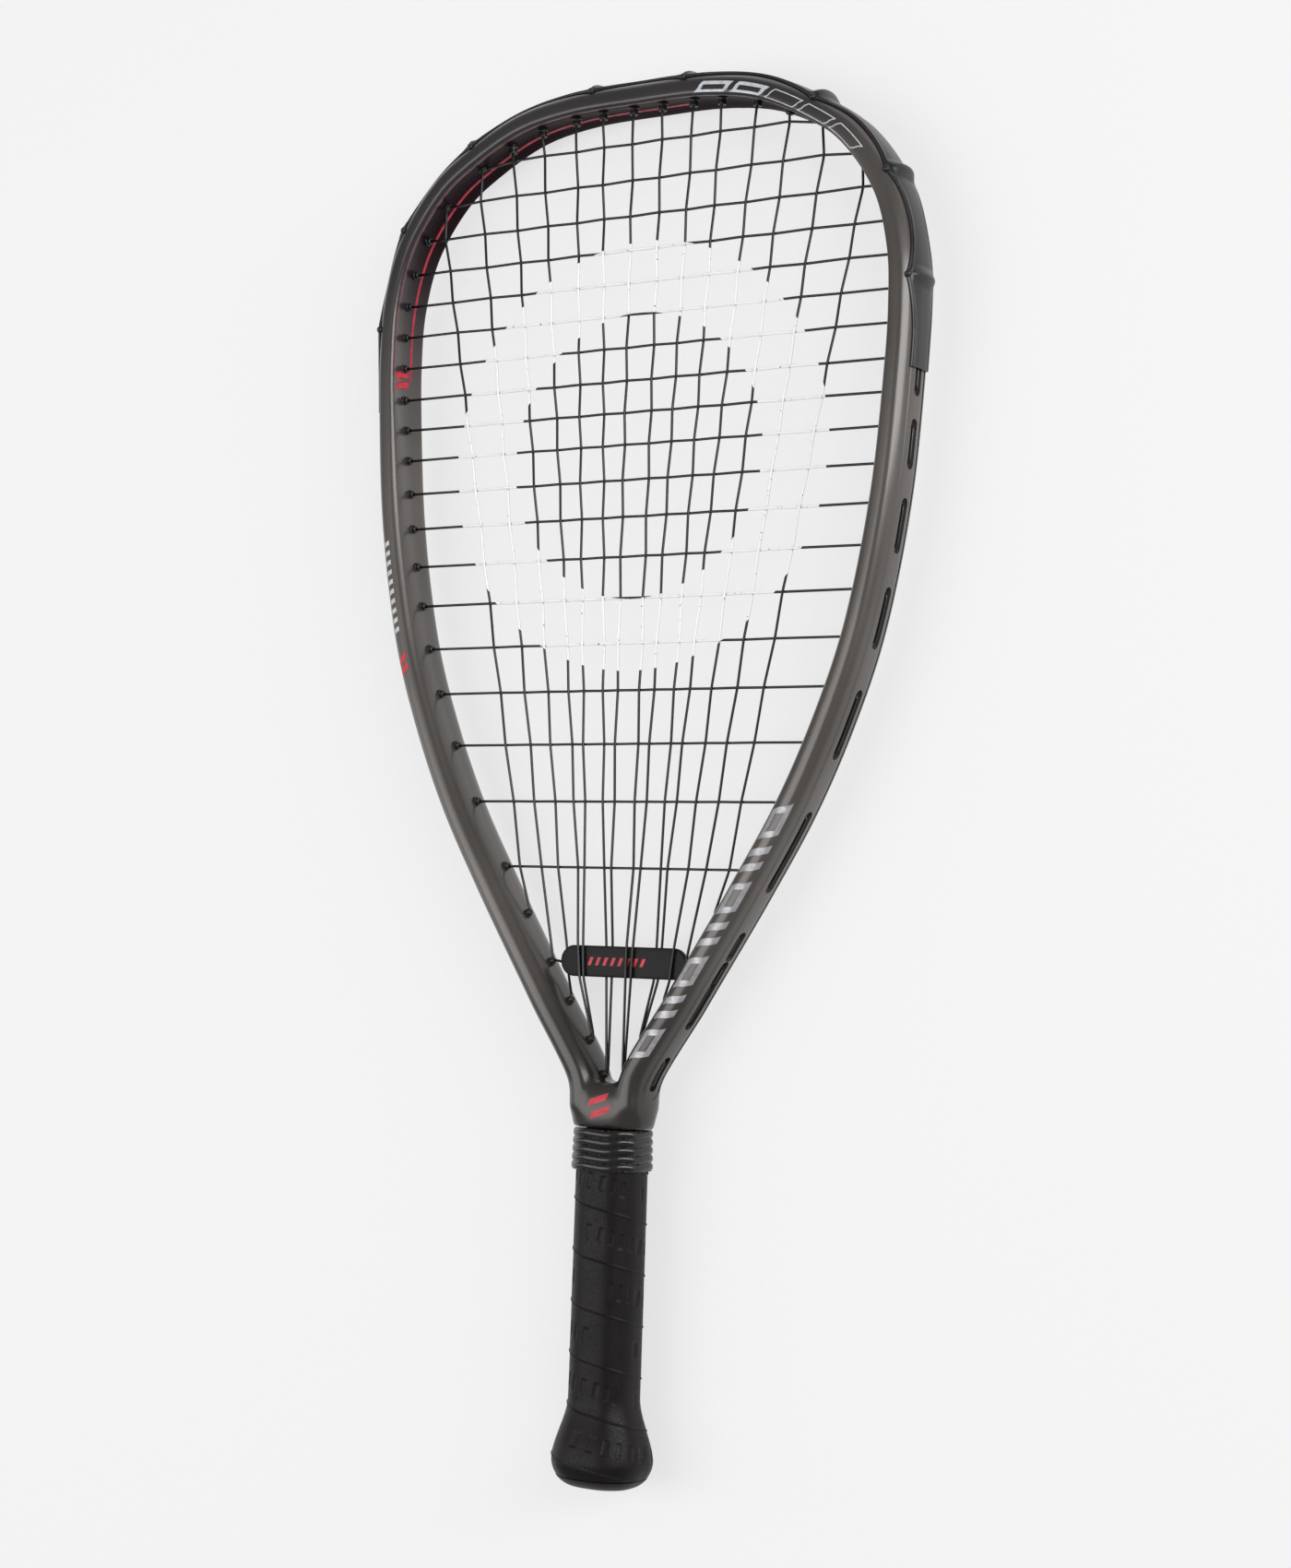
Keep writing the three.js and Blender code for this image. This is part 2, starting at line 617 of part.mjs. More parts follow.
// String damper: a rubber bar threaded in front of and behind the middle mains, slotted for the lowest cross

function damperSteps() {
  const y = bedHeight(CROSS_SHARES[CROSS_SHARES.length - 1]);
  const place = (index) => mainPlace(index, y);
  const outer = (place(2) + place(3)) / 2;
  const inner = (place(4) + place(5)) / 2;
  return [-outer, -inner, 0, inner, outer];
}

function damperOutline(reach) {
  const half = DAMPER_HEIGHT / 2;
  const shape = new THREE.Shape();
  shape.absarc(reach - half, 0, half, -Math.PI / 2, Math.PI / 2);
  shape.absarc(half - reach, 0, half, Math.PI / 2, 3 * Math.PI / 2);
  const depth = 2 * DAMPER_HEIGHT;
  const block = new THREE.ExtrudeGeometry(shape, { depth, curveSegments: 6, bevelEnabled: false });
  return block.translate(DAMPER_OFFSET, 0, -depth / 2);
}

function damper() {
  const middle = DAMPER_THICKNESS / 2;
  const lift = WEAVE + STRING_RADIUS + FIT + middle;
  const base = bedHeight(CROSS_SHARES[CROSS_SHARES.length - 1]) + DAMPER_RISE;
  const reach = -onWall(shareAtWall(base), 0, 0).x - DAMPER_CLEARANCE;
  const ends = [DAMPER_OFFSET - reach - OVERRUN, DAMPER_OFFSET + reach + OVERRUN];
  const face = (shift) => {
    const points = [[ends[0], lift + shift]];
    damperSteps().forEach((x, i) => {
      const sign = i % 2 === 0 ? 1 : -1;
      const wall = x + sign * shift;
      points.push([wall - DAMPER_SLANT, sign * lift + shift], [wall + DAMPER_SLANT, -sign * lift + shift]);
    });
    points.push([ends[1], -lift + shift]);
    return points;
  };
  const outline = [...face(middle), ...face(-middle).reverse()];
  const ring = (y) => outline.map(([x, z]) => new THREE.Vector3(x, y, z));
  const bar = loft([ring(base - DAMPER_HEIGHT), ring(base + DAMPER_HEIGHT)]);
  const rounded = toManifold(bar).intersect(toManifold(damperOutline(reach).translate(0, base, 0)));
  const depth = 2 * (WEAVE + STRING_RADIUS) + FIT;
  const slot = new THREE.BoxGeometry(2 * (reach + OVERRUN), STRING_DIAMETER + 2 * STRING_CLEARANCE, depth);
  slot.translate(DAMPER_OFFSET, base - DAMPER_RISE, 0);
  return cut(fromManifold(rounded), [slot]);
}

// Handle

function octagonRing(width, depth, y) {
  const quarter = OCTAGON_SHARES;
  const back = [...quarter].reverse();
  const shares = [
    ...quarter, ...back.map(([x, z]) => [-x, z]), ...quarter.map(([x, z]) => [-x, -z]),
    ...back.map(([x, z]) => [x, -z]),
  ];
  return shares.map(([x, z]) => new THREE.Vector3(x * width / 2, y, z * depth / 2));
}

function flare(y) {
  const near = THREE.MathUtils.clamp((BUTT_START - y) / (BUTT_START - BUTT_FULL), 0, 1);
  return near * near * (3 - 2 * near);
}

function gripSize(y, inset) {
  const width = GRIP_WIDTH + flare(y) * (BUTT_WIDTH - GRIP_WIDTH) - 2 * inset;
  const depth = GRIP_DEPTH + flare(y) * (BUTT_DEPTH - GRIP_DEPTH) - 2 * inset;
  return [width, depth];
}

function gripRing(y, inset) {
  return octagonRing(...gripSize(y, inset), y);
}

function steppedRings(from, to, steps, inset) {
  return Array.from({ length: steps + 1 }, (_, i) => gripRing(from + (i / steps) * (to - from), inset));
}

function woundSleeve(from, to) {
  const phases = [0, 0.05, 0.4, 0.75];
  const lips = [0, GRIP_LIP, GRIP_LIP / 2, 0];
  const columns = 4 * OCTAGON_SHARES.length;
  const perTurn = phases.length;
  const turns = Math.ceil((to - from) / GRIP_PITCH) + 3;
  const rows = turns * perTurn;
  const points = [];
  for (let row = 0; row <= rows; row += 1) {
    for (let column = 0; column < columns; column += 1) {
      const turn = Math.floor(row / perTurn) + phases[row % perTurn] + column / columns;
      const y = from + (turn - 2) * GRIP_PITCH;
      points.push(gripRing(y, -lips[row % perTurn])[columns - 1 - column]);
    }
  }
  return closeSleeve(points, rows, columns, perTurn);
}

function closeSleeve(points, rows, columns, perTurn) {
  const id = (row, column) => (column === columns ? (row + perTurn) * columns : row * columns + column);
  const triangles = [];
  for (let row = 0; row < rows; row += 1) {
    for (let column = 0; column < columns; column += 1) {
      if (column === columns - 1 && row + perTurn + 1 > rows) continue;
      const [a, b, c, d] = [id(row, column), id(row, column + 1), id(row + 1, column + 1), id(row + 1, column)];
      triangles.push([a, b, c], [a, c, d]);
    }
  }
  const axisPoint = (point) => new THREE.Vector3(0, point.y, 0);
  const start = Array.from({ length: columns }, (_, i) => id(0, columns - 1 - i));
  for (let row = 1; row <= perTurn; row += 1) start.push(id(row, 0));
  const end = Array.from({ length: columns }, (_, i) => id(rows, i));
  for (let row = 1; row <= perTurn; row += 1) end.push(id(rows - row, columns - 1));
  [start, end].forEach((loop) => {
    const hub = points.push(axisPoint(points[loop[0]])) - 1;
    loop.forEach((a, i) => triangles.push([a, loop[(i + 1) % loop.length], hub]));
  });
  return solidFrom(points, triangles);
}

function gripWrap() {
  const from = CAP_RIM + FIT;
  const to = COLLAR_BOTTOM - FIT;
  const sleeve = toManifold(woundSleeve(from, to));
  const slab = new THREE.BoxGeometry(2 * BUTT_WIDTH, to - from, 2 * BUTT_DEPTH).translate(0, (from + to) / 2, 0);
  const bore = [gripRing(from - OVERRUN, GRIP_WRAP), ...steppedRings(from, BUTT_START, 6, GRIP_WRAP)];
  bore.push(gripRing(to + OVERRUN, GRIP_WRAP));
  return cut(fromManifold(sleeve.intersect(toManifold(slab))), [loft(bore)]);
}

function pallet(side) {
  const from = CAP_FLOOR + FIT;
  const to = COLLAR_TOP - FIT;
  const body = loft([octagonRing(PALLET_WIDTH, PALLET_DEPTH, from), octagonRing(PALLET_WIDTH, PALLET_DEPTH, to)]);
  const core = loft([
    ovalRing(TANG_WIDTH + 2 * FIT, TANG_DEPTH + 2 * FIT, from - OVERRUN),
    ovalRing(TANG_WIDTH + 2 * FIT, TANG_DEPTH + 2 * FIT, to + OVERRUN),
  ]);
  const other = new THREE.BoxGeometry(2 * GRIP_WIDTH, 2 * OVERALL_LENGTH, GRIP_DEPTH);
  other.translate(0, 0, side * (FIT / 2 - GRIP_DEPTH / 2));
  return cut(body, [core, other]);
}

function collar() {
  const rows = 2 * COLLAR_RIBS;
  const rings = Array.from({ length: rows + 1 }, (_, i) => {
    const inset = i % 2 === 0 ? 2 * COLLAR_RIB_DEPTH : 0;
    const y = COLLAR_BOTTOM + (i / rows) * (COLLAR_TOP - COLLAR_BOTTOM);
    return octagonRing(COLLAR_WIDTH - inset, COLLAR_DEPTH - inset, y);
  });
  const bore = [COLLAR_BOTTOM - OVERRUN, COLLAR_TOP + OVERRUN]
    .map((y) => octagonRing(PALLET_WIDTH + 2 * FIT, PALLET_DEPTH + 2 * FIT, y));
  return cut(loft(rings), [loft(bore)]);
}

function buttCap() {
  const hidden = GRIP_WRAP + FIT;
  const rim = [
    gripRing(0, CAP_ROUND), gripRing(CAP_ROUND / 3, CAP_ROUND / 3), gripRing(CAP_ROUND, 0), gripRing(CAP_RIM, 0),
  ];
  const sleeve = steppedRings(CAP_RIM + FIT / 3, CAP_TOP, 5, hidden);
  const socket = [CAP_FLOOR, CAP_TOP + OVERRUN].map((y) => octagonRing(PALLET_WIDTH + 2 * FIT, PALLET_DEPTH + 2 * FIT, y));
  const tetherHole = (x) => new THREE.CylinderGeometry(TETHER_HOLE_RADIUS, TETHER_HOLE_RADIUS, 2 * CAP_RIM, 12)
    .translate(x, 0, 0);
  return cut(loft([...rim, ...sleeve]), [
    loft(socket), tetherHole(-TETHER_HOLE_SPACING / 2), tetherHole(TETHER_HOLE_SPACING / 2),
  ]);
}

// Assembly

const racket = new THREE.Group();

function addPiece(name, geometry, finish) {
  const material = new THREE.MeshStandardMaterial(FINISHES[finish]);
  material.name = finish;
  const mesh = new THREE.Mesh(geometry, material);
  mesh.name = name;
  racket.add(mesh);
}

addPiece('frame', frame(), 'graphite');
addPiece('head_guard', headGuard(), 'guard');
addPiece('grommet_strip_left', grommetStrip(-1), 'nylon');
addPiece('grommet_strip_right', grommetStrip(1), 'nylon');
holes.throat.forEach((share, i) => {
  addPiece(`throat_grommet_left_${i + 1}`, throatGrommet(share), 'nylon');
  addPiece(`throat_grommet_right_${i + 1}`, throatGrommet(mirrorShare(share)), 'nylon');
});
addPiece('string_mains', tube(mainsPath(), STRING_RADIUS, 4), 'string');
addPiece('string_crosses', tube(crossesPath(), STRING_RADIUS, 4), 'string');
addPiece('string_damper', damper(), 'rubber');
addPiece('pallet_front', pallet(1), 'foam');
addPiece('pallet_back', pallet(-1), 'foam');
addPiece('butt_cap', buttCap(), 'rubber');
addPiece('grip_wrap', gripWrap(), 'grip');
addPiece('grip_collar', collar(), 'rubber');

export default racket;
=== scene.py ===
"""Racquetball racket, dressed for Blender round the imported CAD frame.

Sizes inside the classes are millimetres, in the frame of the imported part: the origin is the centre of the
butt's end face, +Y runs to the top of the head, +X goes across the head and +Z out of the front face. A
mesh is turned to metres where it is made. A share is a place along the hoop, from 0 at the foot of the left
arm to 1 at the foot of the right one.
"""
from __future__ import annotations

import logging
import math
from dataclasses import dataclass, field
from enum import Enum
from typing import Callable, Iterable, Optional, Sequence

import bmesh
import bpy
import numpy as np
from mathutils import Matrix, Vector


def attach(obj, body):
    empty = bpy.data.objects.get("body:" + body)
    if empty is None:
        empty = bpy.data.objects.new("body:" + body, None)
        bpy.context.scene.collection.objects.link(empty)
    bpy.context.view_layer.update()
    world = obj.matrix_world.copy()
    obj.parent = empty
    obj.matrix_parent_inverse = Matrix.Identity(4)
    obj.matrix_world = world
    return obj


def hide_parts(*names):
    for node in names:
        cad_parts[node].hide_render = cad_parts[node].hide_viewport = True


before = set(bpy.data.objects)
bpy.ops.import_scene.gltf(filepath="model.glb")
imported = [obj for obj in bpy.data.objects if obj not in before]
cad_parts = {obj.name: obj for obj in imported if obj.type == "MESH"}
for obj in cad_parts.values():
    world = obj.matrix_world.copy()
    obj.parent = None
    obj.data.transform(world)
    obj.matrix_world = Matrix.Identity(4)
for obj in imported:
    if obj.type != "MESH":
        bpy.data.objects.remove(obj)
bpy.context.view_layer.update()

log = logging.getLogger("racket")

MM = 0.001
TAU = 2 * math.pi
BODY = "root"
Ring = np.ndarray
Numbers = np.ndarray | float
Shape = tuple[np.ndarray, list[tuple[int, ...]]]
Tree, Node, Socket = bpy.types.NodeTree, bpy.types.Node, bpy.types.NodeSocket
Material, Piece = bpy.types.Material, bpy.types.Object


class Slot(Enum):
    """The record's material slots."""

    GRAPHITE = "graphite"
    GUARD = "guard"
    NYLON = "nylon"
    STRING = "string"
    RUBBER = "rubber"
    GRIP = "grip"


class Side(Enum):
    """The two halves of the racket, by the sign of X."""

    LEFT = -1
    RIGHT = 1


# Materials


def linear(hex_colour: str) -> tuple[float, float, float, float]:
    """Turns an sRGB hex value into linear colour.

    Args:
        hex_colour: Six hexadecimal digits after a hash.

    Returns:
        Linear red, green, blue and an alpha of one.
    """
    parts = [int(hex_colour[i:i + 2], 16) / 255 for i in (1, 3, 5)]
    red, green, blue = (p / 12.92 if p <= 0.04045 else ((p + 0.055) / 1.055) ** 2.4 for p in parts)
    return red, green, blue, 1.0


def per_metre(size_mm: float) -> float:
    """Gives the texture scale at which one feature of a pattern is about size_mm across."""
    return 1 / (size_mm * MM)


def add_node(
    tree: Tree, kind: str, inputs: Optional[dict] = None, stops: Iterable[tuple[float, str]] = (),
    **settings: object,
) -> Node:
    """Adds a node with its settings and links.

    Args:
        tree: The node tree that takes the node.
        kind: Blender's name for the kind of node, after the word ShaderNode.
        inputs: Socket names or places, each with a value, with the socket that feeds it, or with a node
            that feeds it from its first output in use.
        stops: Places and hex colours of a colour ramp.
        **settings: Properties of the node itself.

    Returns:
        The new node.
    """
    node = tree.nodes.new(f"ShaderNode{kind}")
    for name, value in settings.items():
        setattr(node, name, value)
    for place, (position, colour) in enumerate(stops):
        ramp = node.color_ramp.elements
        element = ramp[place] if place < len(ramp) else ramp.new(position)
        element.position = position
        element.color = linear(colour)
    for socket, value in (inputs or {}).items():
        if isinstance(value, Node):
            value = next(output for output in value.outputs if output.enabled)
        if isinstance(value, Socket):
            tree.links.new(value, node.inputs[socket])
        else:
            node.inputs[socket].default_value = value
    return node


@dataclass(frozen=True)
class Finish:
    """What every finish has: a name, and a surface whose patterns are measured on the object."""

    name: str

    def build(self) -> Material:
        """Builds the material.

        Returns:
            The material, with its surface joined to its output.
        """
        material = bpy.data.materials.new(self.name)
        material.use_nodes = True
        tree = material.node_tree
        tree.nodes.clear()
        surface = self.surface(tree, add_node(tree, "TexCoord").outputs["Object"])
        add_node(tree, "OutputMaterial", {"Surface": surface})
        return material

    def surface(self, tree: Tree, place: Socket) -> Node:
        """Builds the surface.

        Args:
            tree: The material's empty tree.
            place: Places on the object, in metres.

        Returns:
            The shader that the material shows.
        """
        raise NotImplementedError


@dataclass(frozen=True)
class SatinGraphite(Finish):
    """Graphite composite, moulded, painted with a fine metallic grey and sealed with a satin lacquer.

    The flakes in the paint give a faint sparkle, the moulding gives a slow unevenness of tone, and the
    lacquer gives long soft highlights. Painted shade darkens the neck and the top of the head, more on the
    left. The inner wall at the top has a dark reddish painted shade and no lacquer, so it hardly shines.
    """

    name: str = "satin_graphite"
    dark: str = "#4b4744"
    pale: str = "#5c5754"
    # Painted shade over the top of the head, darker towards the top and on the left.
    shade: str = "#a5a3ae"
    shade_heights: tuple[float, float] = (462.0, 530.0)
    shade_lean: float = -0.3
    # Painted shade on the inner wall at the top: a dark reddish tint behind the front lip.
    inner_wall_shade: str = "#c28f9d"
    inner_wall_shade_depths: tuple[float, float] = (8.6, 6.2)
    inner_wall_shade_heights: tuple[float, float] = (440.0, 512.0)
    inner_wall_shade_specular: float = 0.03
    # Painted shade over the neck, darker towards its bottom.
    neck_shade: str = "#a5a2a0"
    neck_heights: tuple[float, float] = (225.0, 160.0)
    flake_size: float = 0.5
    flake_share: float = 0.35
    tone_size: float = 60.0
    tone_stops: tuple[float, float] = (0.45, 0.95)
    specular: float = 0.5
    metallic: float = 0.4
    lacquer: float = 0.35
    lacquer_roughness: float = 0.16
    roughness: float = 0.3
    shine_range: tuple[float, float] = (-0.04, 0.06)
    ripple_size: float = 9.0
    ripple_depth: float = 0.3
    ripple_strength: float = 0.04

    def surface(self, tree: Tree, place: Socket) -> Node:
        """Builds the lacquered paint: flakes, slow tone, painted shade and a faint ripple in the lacquer.

        Args:
            tree: The material's empty tree.
            place: Places on the object, in metres.

        Returns:
            The principled shader.
        """
        flakes, tone, ripple = (
            add_node(tree, "TexNoise", {"Vector": place, "Scale": per_metre(size), "Detail": detail})
            for size, detail in ((self.flake_size, 2.0), (self.tone_size, 1.0), (self.ripple_size, 1.0))
        )
        mixed = add_node(tree, "Math", {0: flakes, 1: self.flake_share, 2: tone}, operation="MULTIPLY_ADD")
        paint = add_node(tree, "ValToRGB", {"Fac": mixed}, zip(self.tone_stops, (self.dark, self.pale)))
        spot = add_node(tree, "SeparateXYZ", {0: place}).outputs
        leaning = add_node(
            tree, "Math", {0: spot["X"], 1: self.shade_lean, 2: spot["Y"]}, operation="MULTIPLY_ADD")
        # Painted shade: the first mask darkens the top of the head, leaning left; the second keeps the inner
        # wall's tint to the top; the third darkens the inner wall behind the front lip; the fourth darkens
        # the neck.
        most, masks = 1.0, []
        for value, (start, stop), tint in (
            (leaning, self.shade_heights, self.shade),
            (spot["Y"], self.inner_wall_shade_heights, None),
            (spot["Z"], self.inner_wall_shade_depths, self.inner_wall_shade),
            (spot["Y"], self.neck_heights, self.neck_shade),
        ):
            mask = add_node(tree, "MapRange", {
                "Value": value, "From Min": start * MM, "From Max": stop * MM, "To Max": most,
            }, interpolation_type="SMOOTHSTEP")
            masks.append(mask)
            most = 1.0 if tint else mask
            if tint:
                paint = add_node(tree, "Mix", {
                    0: mask, 6: paint, 7: linear(tint),
                }, data_type="RGBA", blend_type="MULTIPLY")
        shine = add_node(tree, "MapRange", {
            "Value": flakes, "To Min": self.roughness + self.shine_range[0],
            "To Max": self.roughness + self.shine_range[1],
        })
        # Where the inner wall's painted shade lies, the specular is lowered and the metal and lacquer are
        # taken off, which hides its reflections.
        specular, metallic, lacquer = (
            add_node(tree, "MapRange", {"Value": masks[2], "To Min": outside, "To Max": inside})
            for outside, inside in (
                (self.specular, self.inner_wall_shade_specular), (self.metallic, 0.0), (self.lacquer, 0.0))
        )
        bump = add_node(tree, "Bump", {
            "Height": ripple, "Strength": self.ripple_strength, "Distance": self.ripple_depth * MM,
        })
        return add_node(tree, "BsdfPrincipled", {
            "Base Color": paint, "Roughness": shine, "Normal": bump, "Metallic": metallic,
            "Specular IOR Level": specular, "Coat Weight": lacquer, "Coat Roughness": self.lacquer_roughness,
        })


@dataclass(frozen=True)
class MouldedPlastic(Finish):
    """Injection-moulded nylon or rubber, in one colour through and through.

    The mould's spark-eroded skin gives it a fine grain that softens the shine, and rubbed places are a
    little paler. The grain is drawn about as coarse as the render can show.
    """

    name: str = "moulded_nylon"
    dark: str = "#0e0e10"
    pale: str = "#1a1a1c"
    grain_size: float = 0.45
    wear_size: float = 14.0
    wear_stops: tuple[float, float] = (0.35, 0.75)
    roughness: float = 0.34
    shine_range: tuple[float, float] = (-0.06, 0.1)
    relief: float = 0.05
    relief_strength: float = 0.35
    specular: float = 0.5
    ior: float = 1.53

    def surface(self, tree: Tree, place: Socket) -> Node:
        """Builds the moulded surface: tone by wear, shine by grain and a shallow relief.

        Args:
            tree: The material's empty tree.
            place: Places on the object, in metres.

        Returns:
            The principled shader.
        """
        grain, wear = (
            add_node(tree, "TexNoise", {"Vector": place, "Scale": per_metre(size), "Detail": detail})
            for size, detail in ((self.grain_size, 3.0), (self.wear_size, 4.0))
        )
        colour = add_node(tree, "ValToRGB", {"Fac": wear}, zip(self.wear_stops, (self.dark, self.pale)))
        shine = add_node(tree, "MapRange", {
            "Value": grain, "To Min": self.roughness + self.shine_range[0],
            "To Max": self.roughness + self.shine_range[1],
        })
        bump = add_node(tree, "Bump", {
            "Height": grain, "Strength": self.relief_strength, "Distance": self.relief * MM,
        })
        return add_node(tree, "BsdfPrincipled", {
            "Base Color": colour, "Roughness": shine, "Normal": bump, "IOR": self.ior,
            "Specular IOR Level": self.specular,
        })


@dataclass(frozen=True)
class StencilledString(Finish):
    """Nylon string, extruded and glossy, black, with a plain oval ring stencilled on the bed in white ink.

    The ink lies thinly on the front of each string, so it looks like broken white dashes.
    """

    name: str = "stencilled_string"
    strand: str = "#0d0d0f"
    ink: str = "#fcfcfb"
    ring_height: float = 407.0
    ring_half_width: float = 73.0
    ring_half_height: float = 72.0
    ring_band: float = 0.2
    front_from: float = -0.1
    speck_size: float = 1.2
    speck_share: float = 0.3
    roughness: float = 0.28
    ink_roughness: float = 0.6

    def surface(self, tree: Tree, place: Socket) -> Node:
        """Builds the string's surface with its stencil measured from the racket's own frame.

        Args:
            tree: The material's empty tree.
            place: Places on the object, in metres.

        Returns:
            The principled shader.
        """
        spot = add_node(tree, "Mapping", {
            "Vector": place, "Location": (0.0, -self.ring_height / self.ring_half_height, 0.0),
            "Scale": (per_metre(self.ring_half_width), per_metre(self.ring_half_height), 0.0),
        })
        reach = add_node(tree, "VectorMath", {0: spot}, operation="LENGTH")
        mask = add_node(tree, "Math", {0: reach, 1: 1.0, 2: self.ring_band}, operation="COMPARE")
        normal = add_node(tree, "SeparateXYZ", {0: add_node(tree, "NewGeometry").outputs["Normal"]})
        specks = add_node(tree, "TexNoise", {
            "Vector": place, "Scale": per_metre(self.speck_size), "Detail": 2.0,
        })
        for value, least in ((normal.outputs["Z"], self.front_from), (specks, self.speck_share)):
            covered = add_node(tree, "Math", {0: value, 1: least}, operation="GREATER_THAN")
            mask = add_node(tree, "Math", {0: mask, 1: covered}, operation="MULTIPLY")
        colour = add_node(
            tree, "Mix", {0: mask, 6: linear(self.strand), 7: linear(self.ink)}, data_type="RGBA")
        shine = add_node(tree, "MapRange", {
            "Value": mask, "To Min": self.roughness, "To Max": self.ink_roughness,
        })
        return add_node(tree, "BsdfPrincipled", {"Base Color": colour, "Roughness": shine})


@dataclass(frozen=True)
class TackyGripBand(Finish):
    """Polyurethane grip band, knitted underneath and pressed with a fine diamond emboss on top.

    The emboss breaks the shine into points, and the handled places are a little glossier. It is drawn
    somewhat coarser than the real one, so that the render can show it.
    """

    name: str = "tacky_grip_band"
    dark: str = "#120f0f"
    pale: str = "#1c1817"
    emboss_size: float = 1.3
    emboss_turn: float = 38.0
    emboss_depth: float = 0.08
    emboss_strength: float = 0.25
    emboss_looseness: float = 0.55
    tone_size: float = 11.0
    tone_stops: tuple[float, float] = (0.3, 0.8)
    roughness: float = 0.4
    shine_range: tuple[float, float] = (-0.1, 0.15)
    specular: float = 0.16

    def surface(self, tree: Tree, place: Socket) -> Node:
        """Builds the band: a pressed diamond relief, patches of tone and a broken shine.

        Args:
            tree: The material's empty tree.
            place: Places on the object, in metres.

        Returns:
            The principled shader.
        """
        turned_place = add_node(tree, "Mapping", {
            "Vector": place, "Rotation": (0.0, 0.0, math.radians(self.emboss_turn)),
        })
        cells = add_node(tree, "TexVoronoi", {
            "Vector": turned_place, "Scale": per_metre(self.emboss_size), "Randomness": self.emboss_looseness,
        })
        tone = add_node(tree, "TexNoise", {
            "Vector": place, "Scale": per_metre(self.tone_size), "Detail": 4.0,
        })
        colour = add_node(tree, "ValToRGB", {"Fac": tone}, zip(self.tone_stops, (self.dark, self.pale)))
        shine = add_node(tree, "MapRange", {
            "Value": cells, "To Min": self.roughness + self.shine_range[0],
            "To Max": self.roughness + self.shine_range[1],
        })
        bump = add_node(tree, "Bump", {
            "Height": cells, "Strength": self.emboss_strength, "Distance": self.emboss_depth * MM,
        })
        return add_node(tree, "BsdfPrincipled", {
            "Base Color": colour, "Roughness": shine, "Normal": bump, "Specular IOR Level": self.specular,
        })


@dataclass(frozen=True)
class PrintedMark(Finish):
    """Pad-printed ink or foil on the lacquer: thin, with a slightly uneven cover that dulls its shine."""

    name: str = "printed_mark"
    colour: str = "#aeaeb0"
    worn: str = "#959599"
    metallic: float = 0.5
    roughness: float = 0.36
    cover_size: float = 2.2
    cover_stops: tuple[float, float] = (0.3, 0.6)
    shine_range: tuple[float, float] = (0.1, -0.05)

    def surface(self, tree: Tree, place: Socket) -> Node:
        """Builds the print, with its cover broken by a fine noise.

        Args:
            tree: The material's empty tree.
            place: Places on the object, in metres.

        Returns:
            The principled shader.
        """
        cover = add_node(tree, "TexNoise", {
            "Vector": place, "Scale": per_metre(self.cover_size), "Detail": 3.0,
        })
        colour = add_node(tree, "ValToRGB", {"Fac": cover}, zip(self.cover_stops, (self.worn, self.colour)))
        shine = add_node(tree, "MapRange", {
            "Value": cover, "To Min": self.roughness + self.shine_range[0],
            "To Max": self.roughness + self.shine_range[1],
        })
        return add_node(tree, "BsdfPrincipled", {
            "Base Color": colour, "Roughness": shine, "Metallic": self.metallic,
        })


@dataclass(frozen=True)
class StudioFloor(Finish):
    """Seamless pale studio paper, which shows its own colour and the object's soft shadow."""

    name: str = "studio_paper"
    colour: str = "#f8f8f8"
    fibre_dark: str = "#f0f0f0"
    fibre_pale: str = "#f6f6f6"
    fibre_size: float = 3.0
    shadow_share: float = 0.3

    def surface(self, tree: Tree, place: Socket) -> Node:
        """Builds the paper: partly its plain colour to the eye, and diffuse to everything else.

        Args:
            tree: The material's empty tree.
            place: Places on the floor, in metres.

        Returns:
            The mixed shader.
        """
        fibre = add_node(tree, "TexNoise", {
            "Vector": place, "Scale": per_metre(self.fibre_size), "Detail": 2.0,
        })
        tone = add_node(tree, "ValToRGB", {"Fac": fibre}, [(0.0, self.fibre_dark), (1.0, self.fibre_pale)])
        paper = add_node(tree, "BsdfDiffuse", {"Color": tone})
        glow = add_node(tree, "Emission", {"Color": linear(self.colour), "Strength": 1.0})
        rays = add_node(tree, "LightPath").outputs
        seen = add_node(tree, "Math", {0: rays["Is Camera Ray"], 1: rays["Is Glossy Ray"]}, operation="ADD")
        share = add_node(tree, "Math", {0: seen, 1: 1 - self.shadow_share}, operation="MULTIPLY")
        return add_node(tree, "MixShader", {0: share, 1: paper, 2: glow})


# Meshes


def make_object(name: str, shape: Shape, sharp_degrees: float = 32.0) -> Piece:
    """Makes a mesh object in metres, smooth but for its sharp edges.

    Args:
        name: The object's name.
        shape: Points in millimetres, and faces.
        sharp_degrees: Edges that turn by more than this stay crisp.

    Returns:
        The object, linked to the scene.
    """
    points, faces = shape
    mesh = bpy.data.meshes.new(name)
    mesh.from_pydata((np.asarray(points) * MM).tolist(), [], [tuple(int(i) for i in face) for face in faces])
    mesh.update()
    made = bpy.data.objects.new(name, mesh)
    bpy.context.scene.collection.objects.link(made)
    orient(made)
    smooth(made, sharp_degrees)
    return made


def orient(made: Piece) -> None:
    """Turns a closed mesh's faces outwards.

    Args:
        made: The object with the mesh.
    """
    work = bmesh.new()
    work.from_mesh(made.data)
    bmesh.ops.recalc_face_normals(work, faces=work.faces)
    work.to_mesh(made.data)
    work.free()


